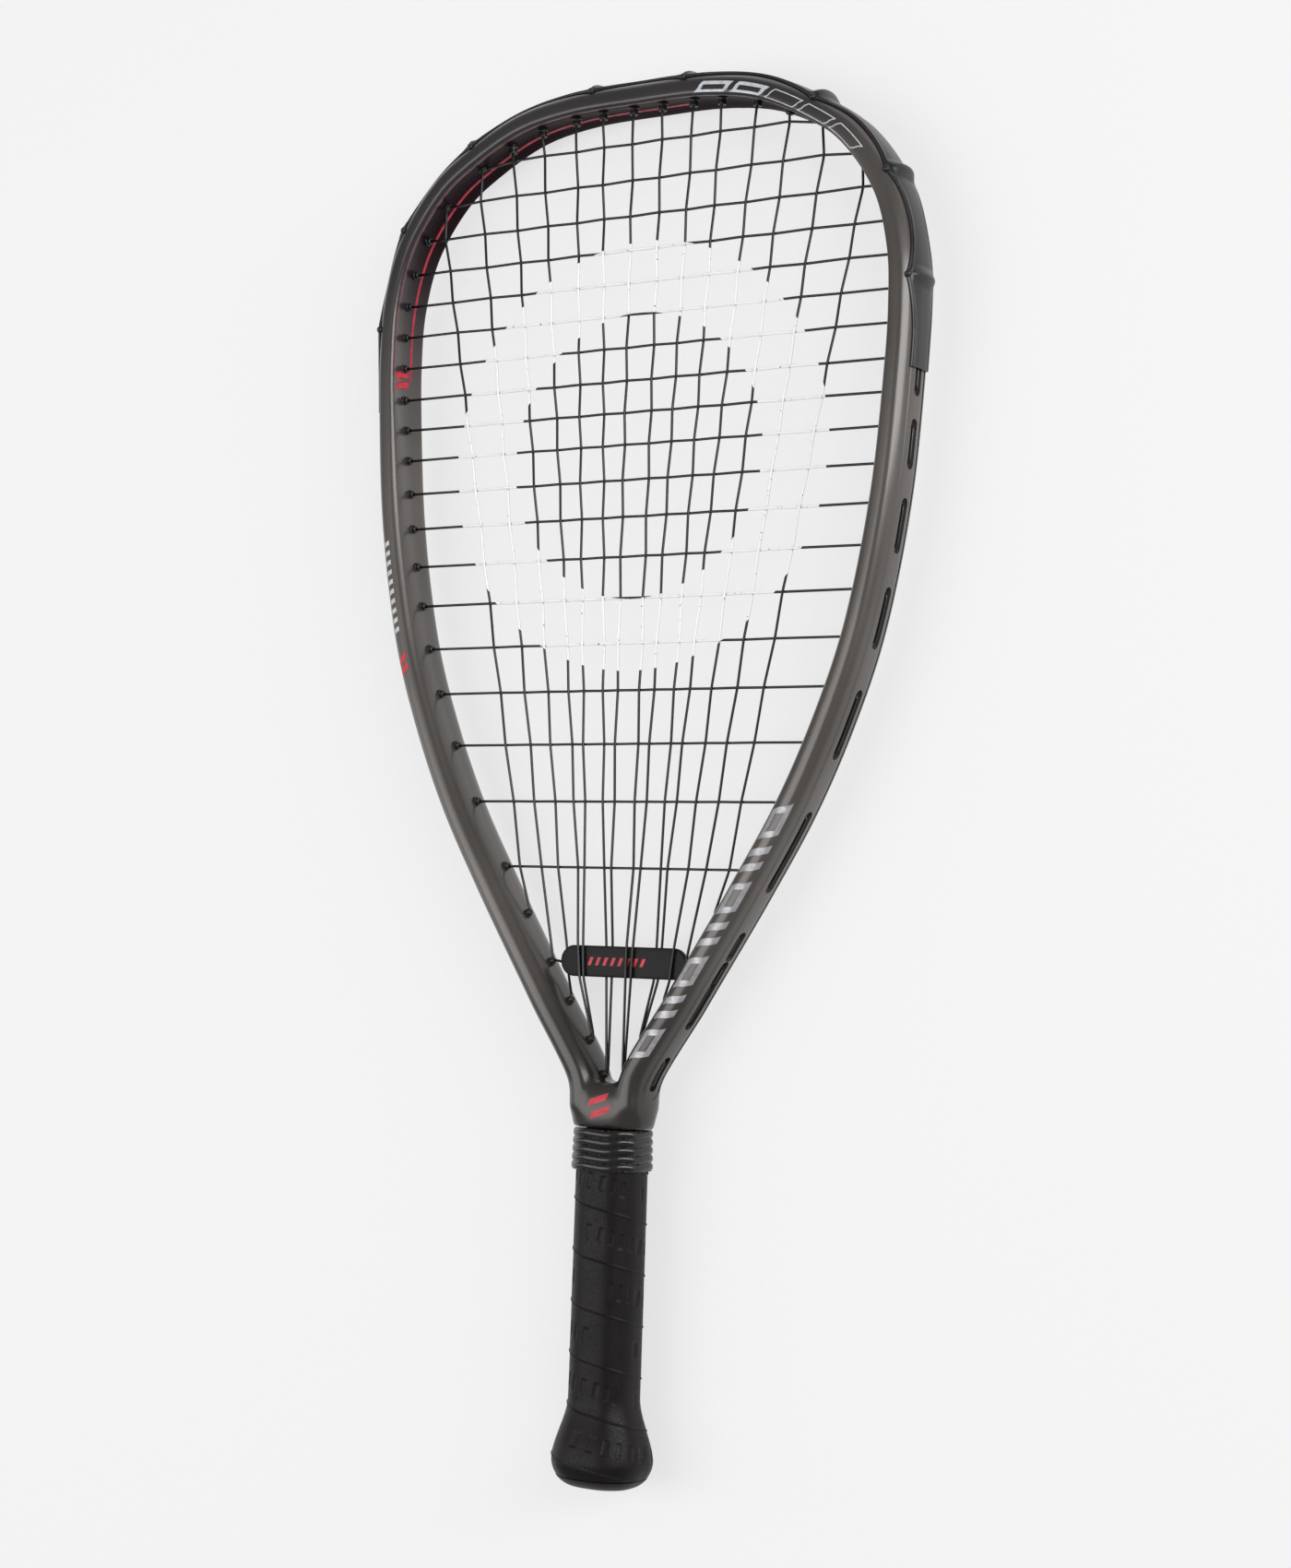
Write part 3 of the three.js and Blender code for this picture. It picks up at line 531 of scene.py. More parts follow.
def smooth(made: Piece, sharp_degrees: float) -> None:
    """Shades a mesh smooth but for its sharp edges.

    Args:
        made: The object with the mesh.
        sharp_degrees: Edges that turn by more than this stay crisp.
    """
    work = bmesh.new()
    work.from_mesh(made.data)
    limit = math.radians(sharp_degrees)
    for face in work.faces:
        face.smooth = True
    for edge in work.edges:
        edge.smooth = len(edge.link_faces) == 2 and edge.calc_face_angle(0.0) < limit
    work.to_mesh(made.data)
    work.free()


def apply_modifiers(made: Piece) -> None:
    """Bakes an object's modifiers into its mesh.

    Args:
        made: The object with the modifiers.
    """
    graph = bpy.context.evaluated_depsgraph_get()
    mesh = bpy.data.meshes.new_from_object(made.evaluated_get(graph))
    made.modifiers.clear()
    old = made.data
    made.data = mesh
    bpy.data.meshes.remove(old)


def subtract(made: Piece, cutter: Piece) -> None:
    """Cuts one mesh out of another, and deletes the cutter.

    Args:
        made: The piece that is cut.
        cutter: What is cut out of it.
    """
    cut = made.modifiers.new("cut", "BOOLEAN")
    cut.operation = "DIFFERENCE"
    cut.solver = "MANIFOLD"
    cut.object = cutter
    apply_modifiers(made)
    spent = cutter.data
    bpy.data.objects.remove(cutter)
    bpy.data.meshes.remove(spent)


def dress(made: Piece, material: Material, replaced: Sequence[str] = ()) -> None:
    """Gives a piece its finish and its place in the object.

    Args:
        made: The piece.
        material: Its material.
        replaced: CAD nodes that the piece stands for.
    """
    made.data.materials.clear()
    made.data.materials.append(material)
    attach(made, BODY)
    if replaced:
        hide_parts(*replaced)
    log.info("%s: %d points", made.name, len(made.data.vertices))


def loft(rings: Sequence[Ring]) -> Shape:
    """Joins closed rings of the same count into a skin.

    Args:
        rings: Rings of points, in order.

    Returns:
        The skin, capped by a fan at both ends.
    """
    count, rows = len(rings[0]), len(rings)
    faces: list[tuple[int, ...]] = []
    for low in range(0, (rows - 1) * count, count):
        high = low + count
        faces += [(low + i, low + (i + 1) % count, high + (i + 1) % count, high + i) for i in range(count)]
    first, last = rows * count, rows * count + 1
    top = (rows - 1) * count
    faces += [(first, (i + 1) % count, i) for i in range(count)]
    faces += [(last, top + i, top + (i + 1) % count) for i in range(count)]
    hubs = np.array([rings[0].mean(axis=0), rings[-1].mean(axis=0)])
    return np.concatenate([*rings, hubs]), faces


def join(shapes: Sequence[Shape]) -> Shape:
    """Puts several shapes into one.

    Args:
        shapes: The shapes, which keep their order.

    Returns:
        All their points and faces.
    """
    faces: list[tuple[int, ...]] = []
    offset = 0
    for points, skin in shapes:
        faces += [tuple(i + offset for i in face) for face in skin]
        offset += len(points)
    return np.concatenate([points for points, _ in shapes]), faces


def ease(value: Numbers) -> Numbers:
    """Smooth step from 0 to 1."""
    held = np.clip(value, 0.0, 1.0)
    return held * held * (3 - 2 * held)


def fuller(value: Numbers, power: float) -> Numbers:
    """Turns a circle's cosine or sine into that of a superellipse, whose power is 2 for the circle itself."""
    return np.abs(value) ** (2 / power) * np.sign(value)


def circle(sides: int, across: np.ndarray, over: np.ndarray) -> Ring:
    """Gives a unit circle in the plane of two directions that are square to each other."""
    angles = np.arange(sides) / sides * TAU
    return np.outer(np.cos(angles), across) + np.outer(np.sin(angles), over)


def level(flat: Ring, height: float) -> Ring:
    """Lays a ring of X and Z places at a height on the racket."""
    return np.stack([flat[:, 0], np.full(len(flat), height), flat[:, 1]], axis=1)


def swell(flat: Ring, lift: np.ndarray) -> Ring:
    """Moves the places of a flat ring away from its middle."""
    reach = np.hypot(flat[:, 0], flat[:, 1])
    return flat * ((reach + lift) / reach)[:, None]


def catmull_rom(points: np.ndarray, steps: int) -> np.ndarray:
    """Draws a centripetal Catmull-Rom curve through points.

    Args:
        points: The points that the curve passes.
        steps: Samples in each span.

    Returns:
        The sampled curve.
    """
    whole = np.vstack([2 * points[0] - points[1], points, 2 * points[-1] - points[-2]])
    knots = np.maximum(np.linalg.norm(np.diff(whole, axis=0), axis=1) ** 0.5, 1e-6)
    t = np.linspace(0, 1, steps, endpoint=False)[:, None]
    curve = []
    for i in range(len(points) - 1):
        p0, p1, p2, p3 = whole[i:i + 4]
        d0, d1, d2 = knots[i:i + 3]
        t1 = ((p1 - p0) / d0 - (p2 - p0) / (d0 + d1) + (p2 - p1) / d1) * d1
        t2 = ((p2 - p1) / d1 - (p3 - p1) / (d1 + d2) + (p3 - p2) / d2) * d1
        c2, c3 = -3 * p1 + 3 * p2 - 2 * t1 - t2, 2 * p1 - 2 * p2 + t1 + t2
        curve.append(p1 + t1 * t + c2 * t ** 2 + c3 * t ** 3)
    curve.append(points[-1:])
    return np.vstack(curve)


def eased_line(points: np.ndarray, radius: float, steps: int) -> np.ndarray:
    """Rounds the corners of a line of straight pieces.

    Args:
        points: The line's corners.
        radius: How far from a corner the rounding starts, if both pieces are long enough.
        steps: Samples in each corner.

    Returns:
        The eased line.
    """
    share = np.linspace(0, 1, steps)[:, None]
    curve = [points[:1]]
    for before, here, after in zip(points, points[1:], points[2:]):
        into, out = here - before, after - here
        before_size, after_size = np.linalg.norm(into), np.linalg.norm(out)
        reach = min(radius, 0.45 * before_size, 0.45 * after_size)
        start, stop = here - into / before_size * reach, here + out / after_size * reach
        curve.append((1 - share) ** 2 * start + 2 * share * (1 - share) * here + share ** 2 * stop)
    curve.append(points[-1:])
    return np.vstack(curve)


def tube(path: np.ndarray, radius: float, sides: int) -> Shape:
    """Sweeps a circle along a path without twist.

    Args:
        path: Points along the middle.
        radius: The circle's radius.
        sides: Points round the circle.

    Returns:
        A closed tube.
    """
    along = np.gradient(path, axis=0)
    along /= np.linalg.norm(along, axis=1)[:, None]
    across = np.cross(along[0], (0.0, 0.0, 1.0))
    rings = []
    for point, direction in zip(path, along):
        across = across - direction * across.dot(direction)
        across /= np.linalg.norm(across)
        rings.append(point + radius * circle(sides, across, np.cross(across, direction)))
    return loft(rings)


def turned(profile: Sequence[tuple[float, float]], base: np.ndarray, axis: np.ndarray, sides: int) -> Shape:
    """Turns a profile round an axis.

    Args:
        profile: Radius and height pairs, from one end to the other.
        base: Where the axis has height zero.
        axis: The axis's direction, of length one.
        sides: Points round the axis.

    Returns:
        The turned shape, closed at both ends.
    """
    across = np.cross(axis, (0.0, 0.0, 1.0))
    across /= np.linalg.norm(across)
    ring = circle(sides, across, np.cross(axis, across))
    return loft([base + axis * height + ring * radius for radius, height in profile])


# The racket's shape


@dataclass
class Section:
    """The frame's section: an oval in the throat, and a D with a dished inner wall in the head."""

    half_width: float = 6.5
    half_depth: float = 11.15
    power: float = 2.5
    inner_reach: float = 4.2
    inner_power: float = 4.0
    dish: float = 2.8
    dish_half: float = 9.8
    heights: tuple[float, ...] = (245, 300, 350, 390, 415, 440, 458)
    blends: tuple[float, ...] = (0, 0.2, 0.33, 0.49, 0.66, 0.95, 1)
    hub: float = 1.5
    directions: int = 721
    blend_steps: int = 21
    polar: np.ndarray = field(init=False)
    polar_angles: np.ndarray = field(init=False)

    def __post_init__(self) -> None:
        """Tabulates the section's radius about its hub by direction, for several blends."""
        self.polar_angles = np.linspace(-math.pi, math.pi, self.directions)
        rows = []
        for blend in np.linspace(0, 1, self.blend_steps):
            ring = self.ring(blend, 2 * (self.directions - 1))
            angle = np.arctan2(ring[:, 1], ring[:, 0] - self.hub)
            order = np.argsort(angle)
            reach = np.hypot(ring[:, 0] - self.hub, ring[:, 1])
            rows.append(np.interp(self.polar_angles, angle[order], reach[order], period=TAU))
        self.polar = np.array(rows)

    def blend_at(self, height: Numbers) -> Numbers:
        """Gives how far the section has changed from the throat's oval to the head's D."""
        return np.interp(height, self.heights, self.blends)

    def wall(self, height: Numbers) -> Numbers:
        """Gives the inner wall's place at the string plane, at a height."""
        blend = self.blend_at(height)
        return -self.half_width * (1 - blend) - (self.inner_reach - self.dish) * blend

    def at(self, angle: Numbers, blend: Numbers, extra: float = 0.0) -> np.ndarray:
        """Gives places on the section.

        Args:
            angle: Directions, zero being outwards.
            blend: From 0, the oval, to 1, the D.
            extra: How far the places lie off the surface.

        Returns:
            Outward and forward distances.
        """
        cosine, sine = np.cos(angle), np.sin(angle)
        oval = fuller(cosine, self.power) * (self.half_width + extra)
        side = fuller(sine, self.power) * (self.half_depth + extra)
        flat = fuller(cosine, self.inner_power) * (self.inner_reach + extra)
        edge = fuller(sine, self.inner_power) * (self.half_depth + extra)
        flat = flat + self.dish * np.clip(1 - (edge / self.dish_half) ** 2, 0, 1)
        inner = cosine < 0
        out = np.where(inner, oval * (1 - blend) + flat * blend, oval)
        forward = np.where(inner, side * (1 - blend) + edge * blend, side)
        return np.stack([out, forward], axis=-1)

    def ring(self, blend: float, count: int) -> Ring:
        """Gives the whole section as a ring of places."""
        return self.at(np.arange(count) / count * TAU, blend)

    def angle_for(self, forward: float, extra: float = 0.0) -> float:
        """Gives the direction at which the outer side has a given forward distance."""
        share = min(abs(forward) / (self.half_depth + extra), 1.0)
        return math.copysign(math.asin(share ** (self.power / 2)), forward)

    def snap(self, out: np.ndarray, forward: np.ndarray, height: np.ndarray) -> tuple[np.ndarray, np.ndarray]:
        """Moves places near the surface onto it.

        Args:
            out: Outward distances from the centre line.
            forward: Forward distances.
            height: Heights on the racket, which choose the section.

        Returns:
            The outward and forward distances on the surface.
        """
        angle = np.arctan2(forward, out - self.hub)
        across = (angle + math.pi) / TAU * (self.directions - 1)
        down = self.blend_at(height) * (self.blend_steps - 1)
        column = np.clip(across.astype(int), 0, self.directions - 2)
        row = np.clip(down.astype(int), 0, self.blend_steps - 2)
        u, v = across - column, down - row
        reach = ((self.polar[row, column] * (1 - u) + self.polar[row, column + 1] * u) * (1 - v)
                 + (self.polar[row + 1, column] * (1 - u) + self.polar[row + 1, column + 1] * u) * v)
        return self.hub + reach * np.cos(angle), reach * np.sin(angle)


@dataclass
class Hoop:
    """The frame's centre line, from the foot of the left arm over the head to the right one."""

    reach: float = 119.8
    throat: float = 158.0
    top: float = 550.2
    foot: float = 146.0
    foot_share: float = 0.091
    shares: tuple[tuple[float, float], ...] = (
        (0.098, 0), (0.272, 0.0852), (0.502, 0.1967), (0.66, 0.2799), (0.784, 0.3639), (0.878, 0.4478),
        (0.9585, 0.5751), (0.993, 0.6972), (1, 0.7583), (0.99, 0.8142), (0.934, 0.8748), (0.8025, 0.9305),
        (0.686, 0.9562), (0.48, 0.9865), (0.274, 0.998), (0, 1),
    )
    samples: int = 160
    section: Section = field(default_factory=Section)
    points: np.ndarray = field(init=False)
    normals: np.ndarray = field(init=False)
    places: np.ndarray = field(init=False)
    length: float = field(init=False)

    def __post_init__(self) -> None:
        """Samples the curve finely enough to be read by interpolation."""
        rise = self.top - self.throat
        half = [(self.foot_share * self.reach, self.foot)]
        half += [(x * self.reach, self.throat + y * rise) for x, y in self.shares]
        left = [(-x, y) for x, y in half]
        right = [(x, y) for x, y in reversed(half[:-1])]
        self.points = catmull_rom(np.array(left + right, float), self.samples)
        steps = np.linalg.norm(np.diff(self.points, axis=0), axis=1)
        lengths = np.concatenate([[0.0], np.cumsum(steps)])
        self.length = float(lengths[-1])
        self.places = lengths / self.length
        tangents = np.gradient(self.points, self.places, axis=0)
        tangents /= np.linalg.norm(tangents, axis=1)[:, None]
        self.normals = np.stack([-tangents[:, 1], tangents[:, 0]], axis=1)

    def at(self, share: Numbers, out: Numbers, forward: Numbers) -> np.ndarray:
        """Gives places measured from the centre line.

        Args:
            share: Share of the curve's length.
            out: Outward distance.
            forward: Forward distance.

        Returns:
            The places, one for each share.
        """
        x = np.interp(share, self.places, self.points[:, 0]) + out * self.outward(share)[..., 0]
        y = np.interp(share, self.places, self.points[:, 1]) + out * self.outward(share)[..., 1]
        return np.stack([x, y, np.broadcast_to(forward, np.shape(x))], axis=-1)

    def outward(self, share: Numbers) -> np.ndarray:
        """Gives the outward direction.

        Args:
            share: Share of the curve's length.

        Returns:
            A direction of length one for each share.
        """
        x = np.interp(share, self.places, self.normals[:, 0])
        y = np.interp(share, self.places, self.normals[:, 1])
        size = np.hypot(x, y)
        return np.stack([x / size, y / size, np.zeros_like(size)], axis=-1)

    def height(self, share: Numbers) -> Numbers:
        """Gives the centre line's height."""
        return np.interp(share, self.places, self.points[:, 1])

    def on_wall(self, share: Numbers, forward: float) -> np.ndarray:
        """Gives places on the middle of the inner wall."""
        return self.at(share, self.section.wall(self.height(share)), forward)

    def share_at(self, height: float, out: float) -> float:
        """Gives the share at which a line off the centre line reaches a height on the left half.

        Args:
            height: The height on the racket.
            out: How far outside the centre line the line runs.

        Returns:
            The share.
        """
        places = np.linspace(0.002, 0.5, 4000)
        return float(np.interp(height, self.at(places, out, 0.0)[:, 1], places))

    def nearest(self, points: np.ndarray) -> tuple[np.ndarray, np.ndarray]:
        """Finds where points lie along the centre line.

        Args:
            points: Places on the racket.

        Returns:
            The share and the outward distance of each.
        """
        share = np.empty(len(points))
        coarse = slice(None, None, 8)
        batch = 20000
        for start in range(0, len(points), batch):
            chunk = points[start:start + batch, :2]
            gaps = ((chunk[:, None, :] - self.points[None, coarse, :]) ** 2).sum(axis=2)
            share[start:start + batch] = self.places[coarse][gaps.argmin(axis=1)]
        for _ in range(3):
            base, normal = self.at(share, 0.0, 0.0)[:, :2], self.outward(share)[:, :2]
            tangent = np.stack([normal[:, 1], -normal[:, 0]], axis=1)
            step = ((points[:, :2] - base) * tangent).sum(axis=1)
            share = np.clip(share + step / self.length, 0.0, 1.0)
        base, normal = self.at(share, 0.0, 0.0)[:, :2], self.outward(share)[:, :2]
        return share, ((points[:, :2] - base) * normal).sum(axis=1)

    def sweep(self, ring_at: Callable[[float], Ring], shares: np.ndarray) -> Shape:
        """Sweeps a section that may change along the curve.

        Args:
            ring_at: Gives the section's outward and forward distances for a share.
            shares: The stations.

        Returns:
            The capped skin.
        """
        return loft([self.at(share, *ring_at(share).T) for share in shares])


@dataclass
class StringPlan:
    """Where the strings run: the crosses' heights, the mains' places and every hole."""

    hoop: Hoop
    reach: float = 120.5
    bed_bottom: float = 160.4
    bed_top: float = 551.0
    fan_top: float = 530.0
    fan_bottom: float = 230.0
    cross_shares: tuple[float, ...] = (
        0.9565, 0.9178, 0.8809, 0.8453, 0.8113, 0.7778, 0.744, 0.7094, 0.6764, 0.6431, 0.6067, 0.5686,
        0.5276, 0.4849, 0.4386, 0.3904, 0.3356, 0.2767, 0.2092, 0.1114,
    )
    main_top: tuple[float, ...] = (0.86, 0.688, 0.539, 0.413, 0.28, 0.173, 0.056)
    main_bottom: tuple[float, ...] = (0.388, 0.31, 0.24, 0.168, 0.141, 0.07, 0.04)
    throat_shares: tuple[float, ...] = (0.0, 0.034, 0.0725, 0.1603)
    stringing_order: tuple[int, ...] = (0, 1, 2, 3, 5, 4, 6)
    weave: float = 0.56
    slips: tuple[float, ...] = (3.8, 1.4)
    seat: float = 5.625
    tail: float = 9.0
    corner: float = 1.1
    groove_step: float = 4.0
    wall_clear: float = 2.5
    nose: float = 2.0
    top_nose: float = 3.2
    corner_nose: float = 1.2
    bar_rise: float = 1.0
    bar_reach: float = 6.6
    bar_clear: float = 2.15
    before_bar: tuple[int, ...] = (3, 4, 7, 8, 11)
    behind_bar: tuple[int, ...] = (2, 5, 6, 9, 10)
    crosses: list[float] = field(init=False)
    tops: list[float] = field(init=False)
    bottoms: list[float] = field(init=False)
    throat: list[float] = field(init=False)

    def __post_init__(self) -> None:
        """Finds the shares of all holes on the left half, where the strings meet the inner wall."""
        rows = len(self.cross_shares)
        places = np.linspace(0.002, 0.5, 8000)
        walls = self.hoop.on_wall(places, 0.0)
        heights = [self.height(share) for share in self.cross_shares + self.throat_shares]
        shares = [float(np.interp(height, walls[:, 1], places)) for height in heights]
        self.crosses = shares[:rows]
        for row, slip in enumerate(self.slips):
            self.crosses[row] -= slip / self.hoop.length
        self.tops = [self.crosses[1], self.crosses[0]]
        above = places > self.crosses[0]
        for index in range(2, len(self.main_top)):
            miss = walls[above, 0] + self.main_place(index, walls[above, 1])
            self.tops.append(float(np.interp(0.0, miss, places[above])))
        h1, h2, h3, h5 = shares[rows:]
        lowest = self.crosses[-1]
        self.bottoms = [h5, lowest, h3, h2, h2, h1, h1]
        self.throat = [h1, h2, h3, lowest, h5]

    def height(self, share: float) -> float:
        """Gives a height from its share of the bed."""
        return self.bed_bottom + share * (self.bed_top - self.bed_bottom)

    def main_place(self, index: int, height: Numbers) -> Numbers:
        """Gives a main's distance from the middle at a height, counted from the outermost."""
        low, high = self.main_bottom[index] * self.reach, self.main_top[index] * self.reach
        return low + (height - self.fan_bottom) / (self.fan_top - self.fan_bottom) * (high - low)

    @staticmethod
    def is_one_of(share: float, holes: Sequence[float]) -> bool:
        """Tells whether a hole on the left half is among some others."""
        return bool(np.isclose(share, holes, rtol=0, atol=1e-7).any())

    def is_top(self, share: float) -> bool:
        """Tells whether a hole is a main's own hole at the top."""
        return self.is_one_of(share, self.tops[2:])

    def is_corner(self, share: float) -> bool:
        """Tells whether a hole is one of the two that a cross and a main share at the top."""
        return self.is_one_of(share, self.crosses[:2])

    def reach_of(self, share: float) -> float:
        """Gives how far the grommet of a hole stands out of the wall."""
        own = self.corner_nose if self.is_corner(share) else self.nose
        return self.top_nose if self.is_top(share) else own

    def down_main(self, share: float) -> np.ndarray:
        """Gives the direction down a main.

        Args:
            share: The hole at its top, on the left half.

        Returns:
            A direction of length one.
        """
        index = int(np.abs(np.array(self.tops) - share).argmin())
        lean = self.main_place(index, 1.0) - self.main_place(index, 0.0)
        return np.array([lean, -1.0, 0.0]) / math.hypot(lean, 1.0)

    def axis(self, share: float) -> np.ndarray:
        """Gives the direction in which the grommet of a hole on the left half points into the bed.

        Args:
            share: The hole.

        Returns:
            Along the string where a hole has one string, and square to the wall where two share it.
        """
        if self.is_one_of(share, self.crosses[2:-1]):
            return np.array([1.0, 0.0, 0.0])
        return self.down_main(share) if self.is_top(share) else -self.hoop.outward(share)

    def mouth(self, share: float, forward: float) -> np.ndarray:
        """Gives where a string leaves its grommet inside the head.

        Args:
            share: The hole, on either half.
            forward: How far forward the string lies, which tells a main from a cross at the corners.

        Returns:
            The place.
        """
        own = min(share, 1 - share)
        along = self.axis(own)
        if self.is_corner(own):
            along = self.down_main(own) if forward > 0 else np.array([1.0, 0.0, 0.0])
        flip = np.array([1.0 if share <= 0.5 else -1.0, 1.0, 1.0])
        return (self.hoop.on_wall(own, forward) + along * self.reach_of(own)) * flip

    def groove(self, start: float, stop: float, forward: float) -> list[np.ndarray]:
        """Gives a string's run outside the frame.

        Args:
            start: The hole that it comes out of.
            stop: The hole that it goes into.
            forward: How far forward it lies.

        Returns:
            The places along the run.
        """
        eased = self.corner / self.hoop.length * (1 if stop > start else -1)
        steps = max(int(abs(stop - start) * self.hoop.length / self.groove_step), 2)
        return [self.hoop.at(s, self.seat, forward) for s in np.linspace(start + eased, stop - eased, steps)]

    def has_crossing(self, main: int, row: int) -> bool:
        """Tells whether a main and a cross meet inside the head.

        Args:
            main: The main's number from the left.
            row: The cross's number from the top.

        Returns:
            Whether they meet.
        """
        holes = (self.bottoms[self.index(main)], self.tops[self.index(main)])
        bottom, top = (self.hoop.on_wall(hole, 0.0)[1] for hole in holes)
        return bottom + self.wall_clear < self.height(self.cross_shares[row]) < top - self.wall_clear

    def index(self, main: int) -> int:
        """Turns a main's number from the left into its number from the outside."""
        return min(main, 2 * len(self.main_top) - 1 - main)

    def sided(self, share: float, main: int) -> float:
        """Mirrors a hole to the side that a main is on."""
        return share if main < len(self.main_top) else 1 - share

    def is_threaded(self, main: int, row: int) -> bool:
        """Tells whether a crossing lies in the damper bar, which two sets of mains pass on either side."""
        return row == len(self.cross_shares) - 1 and main in self.before_bar + self.behind_bar

    def on_main(self, main: int, height: float, forward: float) -> np.ndarray:
        """Gives a place on a main."""
        side = -1 if main < len(self.main_top) else 1
        return np.array([side * self.main_place(self.index(main), height), height, forward])

    def main_over(self, main: int, row: int) -> float:
        """Gives how far forward a main passes a cross; the cross passes as far behind."""
        return self.weave if (main + row) % 2 == 0 else -self.weave

    def main_span(self, main: int) -> list[np.ndarray]:
        """Gives a main's crossings and its way round the damper bar.

        Args:
            main: Its number from the left.

        Returns:
            The places from the lowest up.
        """
        points = []
        for row in reversed(range(len(self.cross_shares))):
            height = self.height(self.cross_shares[row])
            if self.is_threaded(main, row):
                forward = self.bar_clear if main in self.before_bar else -self.bar_clear
                middle = height + self.bar_rise
                points += [self.on_main(main, middle + way * self.bar_reach, forward) for way in (-1, 1)]
            elif self.has_crossing(main, row):
                points.append(self.on_main(main, height, self.main_over(main, row)))
        return points

    def cross_span(self, row: int) -> list[np.ndarray]:
        """Gives a cross's crossings.

        Args:
            row: Its number from the top.

        Returns:
            The places from left to right.
        """
        points = []
        for main in range(2 * len(self.main_top)):
            if self.has_crossing(main, row):
                forward = 0.0 if self.is_threaded(main, row) else -self.main_over(main, row)
                points.append(self.on_main(main, self.height(self.cross_shares[row]), forward))
        return points

    def main_height(self, main: int) -> float:
        """Gives how far forward a main lies in its lower hole."""
        shared = self.index(main) > 2
        return self.main_over(main, len(self.cross_shares) - 1) if shared else self.weave

    def mains_path(self) -> np.ndarray:
        """Gives the one path of all mains.

        Returns:
            Its places, from tail to tail.
        """
        mirrored = [2 * len(self.main_top) - 1 - main for main in reversed(self.stringing_order)]
        order = [*self.stringing_order, *mirrored]
        foot = [self.sided(self.bottoms[self.index(main)], main) for main in order]
        head = [self.sided(self.tops[self.index(main)], main) for main in order]
        tail = self.tail / self.hoop.length
        path = self.groove(foot[0] - tail, foot[0], self.main_height(order[0]))
        for place, main in enumerate(order):
            ends = [(foot[place], self.main_height(main)), (head[place], self.weave)]
            span = self.main_span(main)
            if place % 2:
                ends.reverse()
                span.reverse()
            path += self.through(ends[0], inward=True) + span + self.through(ends[1], inward=False)
            if place + 1 < len(order):
                following = (head if place % 2 == 0 else foot)[place + 1]
                path += self.groove(ends[1][0], following, ends[1][1])
        path += self.groove(foot[-1], foot[-1] + tail, self.main_height(order[-1]))
        return np.array(path)

    def crosses_path(self) -> np.ndarray:
        """Gives the one path of all crosses.

        Returns:
            Its places, from tail to tail.
        """
        tail = self.tail / self.hoop.length
        first = 1 - self.crosses[0]
        path = self.groove(first - tail, first, -self.weave)
        for row, share in enumerate(self.crosses):
            leftward = row % 2 == 0
            near, far = (1 - share, share) if leftward else (share, 1 - share)
            span = self.cross_span(row)[::-1] if leftward else self.cross_span(row)
            path += self.through((near, -self.weave), inward=True) + span
            path += self.through((far, -self.weave), inward=False)
            if row + 1 < len(self.crosses):
                after = self.crosses[row + 1]
                path += self.groove(far, after if leftward else 1 - after, -self.weave)
            else:
                path += self.groove(far, far - tail, -self.weave)
        return np.array(path)

    def through(self, hole: tuple[float, float], inward: bool) -> list[np.ndarray]:
        """Gives a string's two places in a hole.

        Args:
            hole: The hole's share, and how far forward the string lies in it.
            inward: Whether the string runs into the head.

        Returns:
            The places, in the order that the string runs.
        """
        share, forward = hole
        points = [self.hoop.at(share, self.seat - self.corner, forward), self.mouth(share, forward)]
        return points if inward else points[::-1]

    def head_holes(self) -> list[float]:
        """Gives every hole of the left half above the throat once, in order."""
        return sorted(set(self.crosses + self.tops) - set(self.throat))

    def runs(self, side: Side) -> list[tuple[float, float]]:
        """Gives the outside runs of string on one side, as pairs of shares counted from its own foot.

        Args:
            side: The side of the frame.

        Returns:
            The ends of each run, in order.
        """
        tail = self.tail / self.hoop.length
        h5, h4, h3, h2, _, h1, _ = self.bottoms
        pairs = [(h1, h2), (h5 - tail, h5), (self.tops[2], self.tops[3]), (self.tops[4], self.tops[5])]
        pairs.append((self.tops[6], 1 - self.tops[6]))
        if side is Side.LEFT:
            first = 0
            pairs.append((h3, h4))
        else:
            first = 3
            pairs += [(h3, h4 + tail), (self.crosses[2], self.crosses[0] + tail)]
        pairs += [(self.crosses[j + 1], self.crosses[j]) for j in range(first, len(self.crosses) - 1, 2)]
        return sorted(pairs)


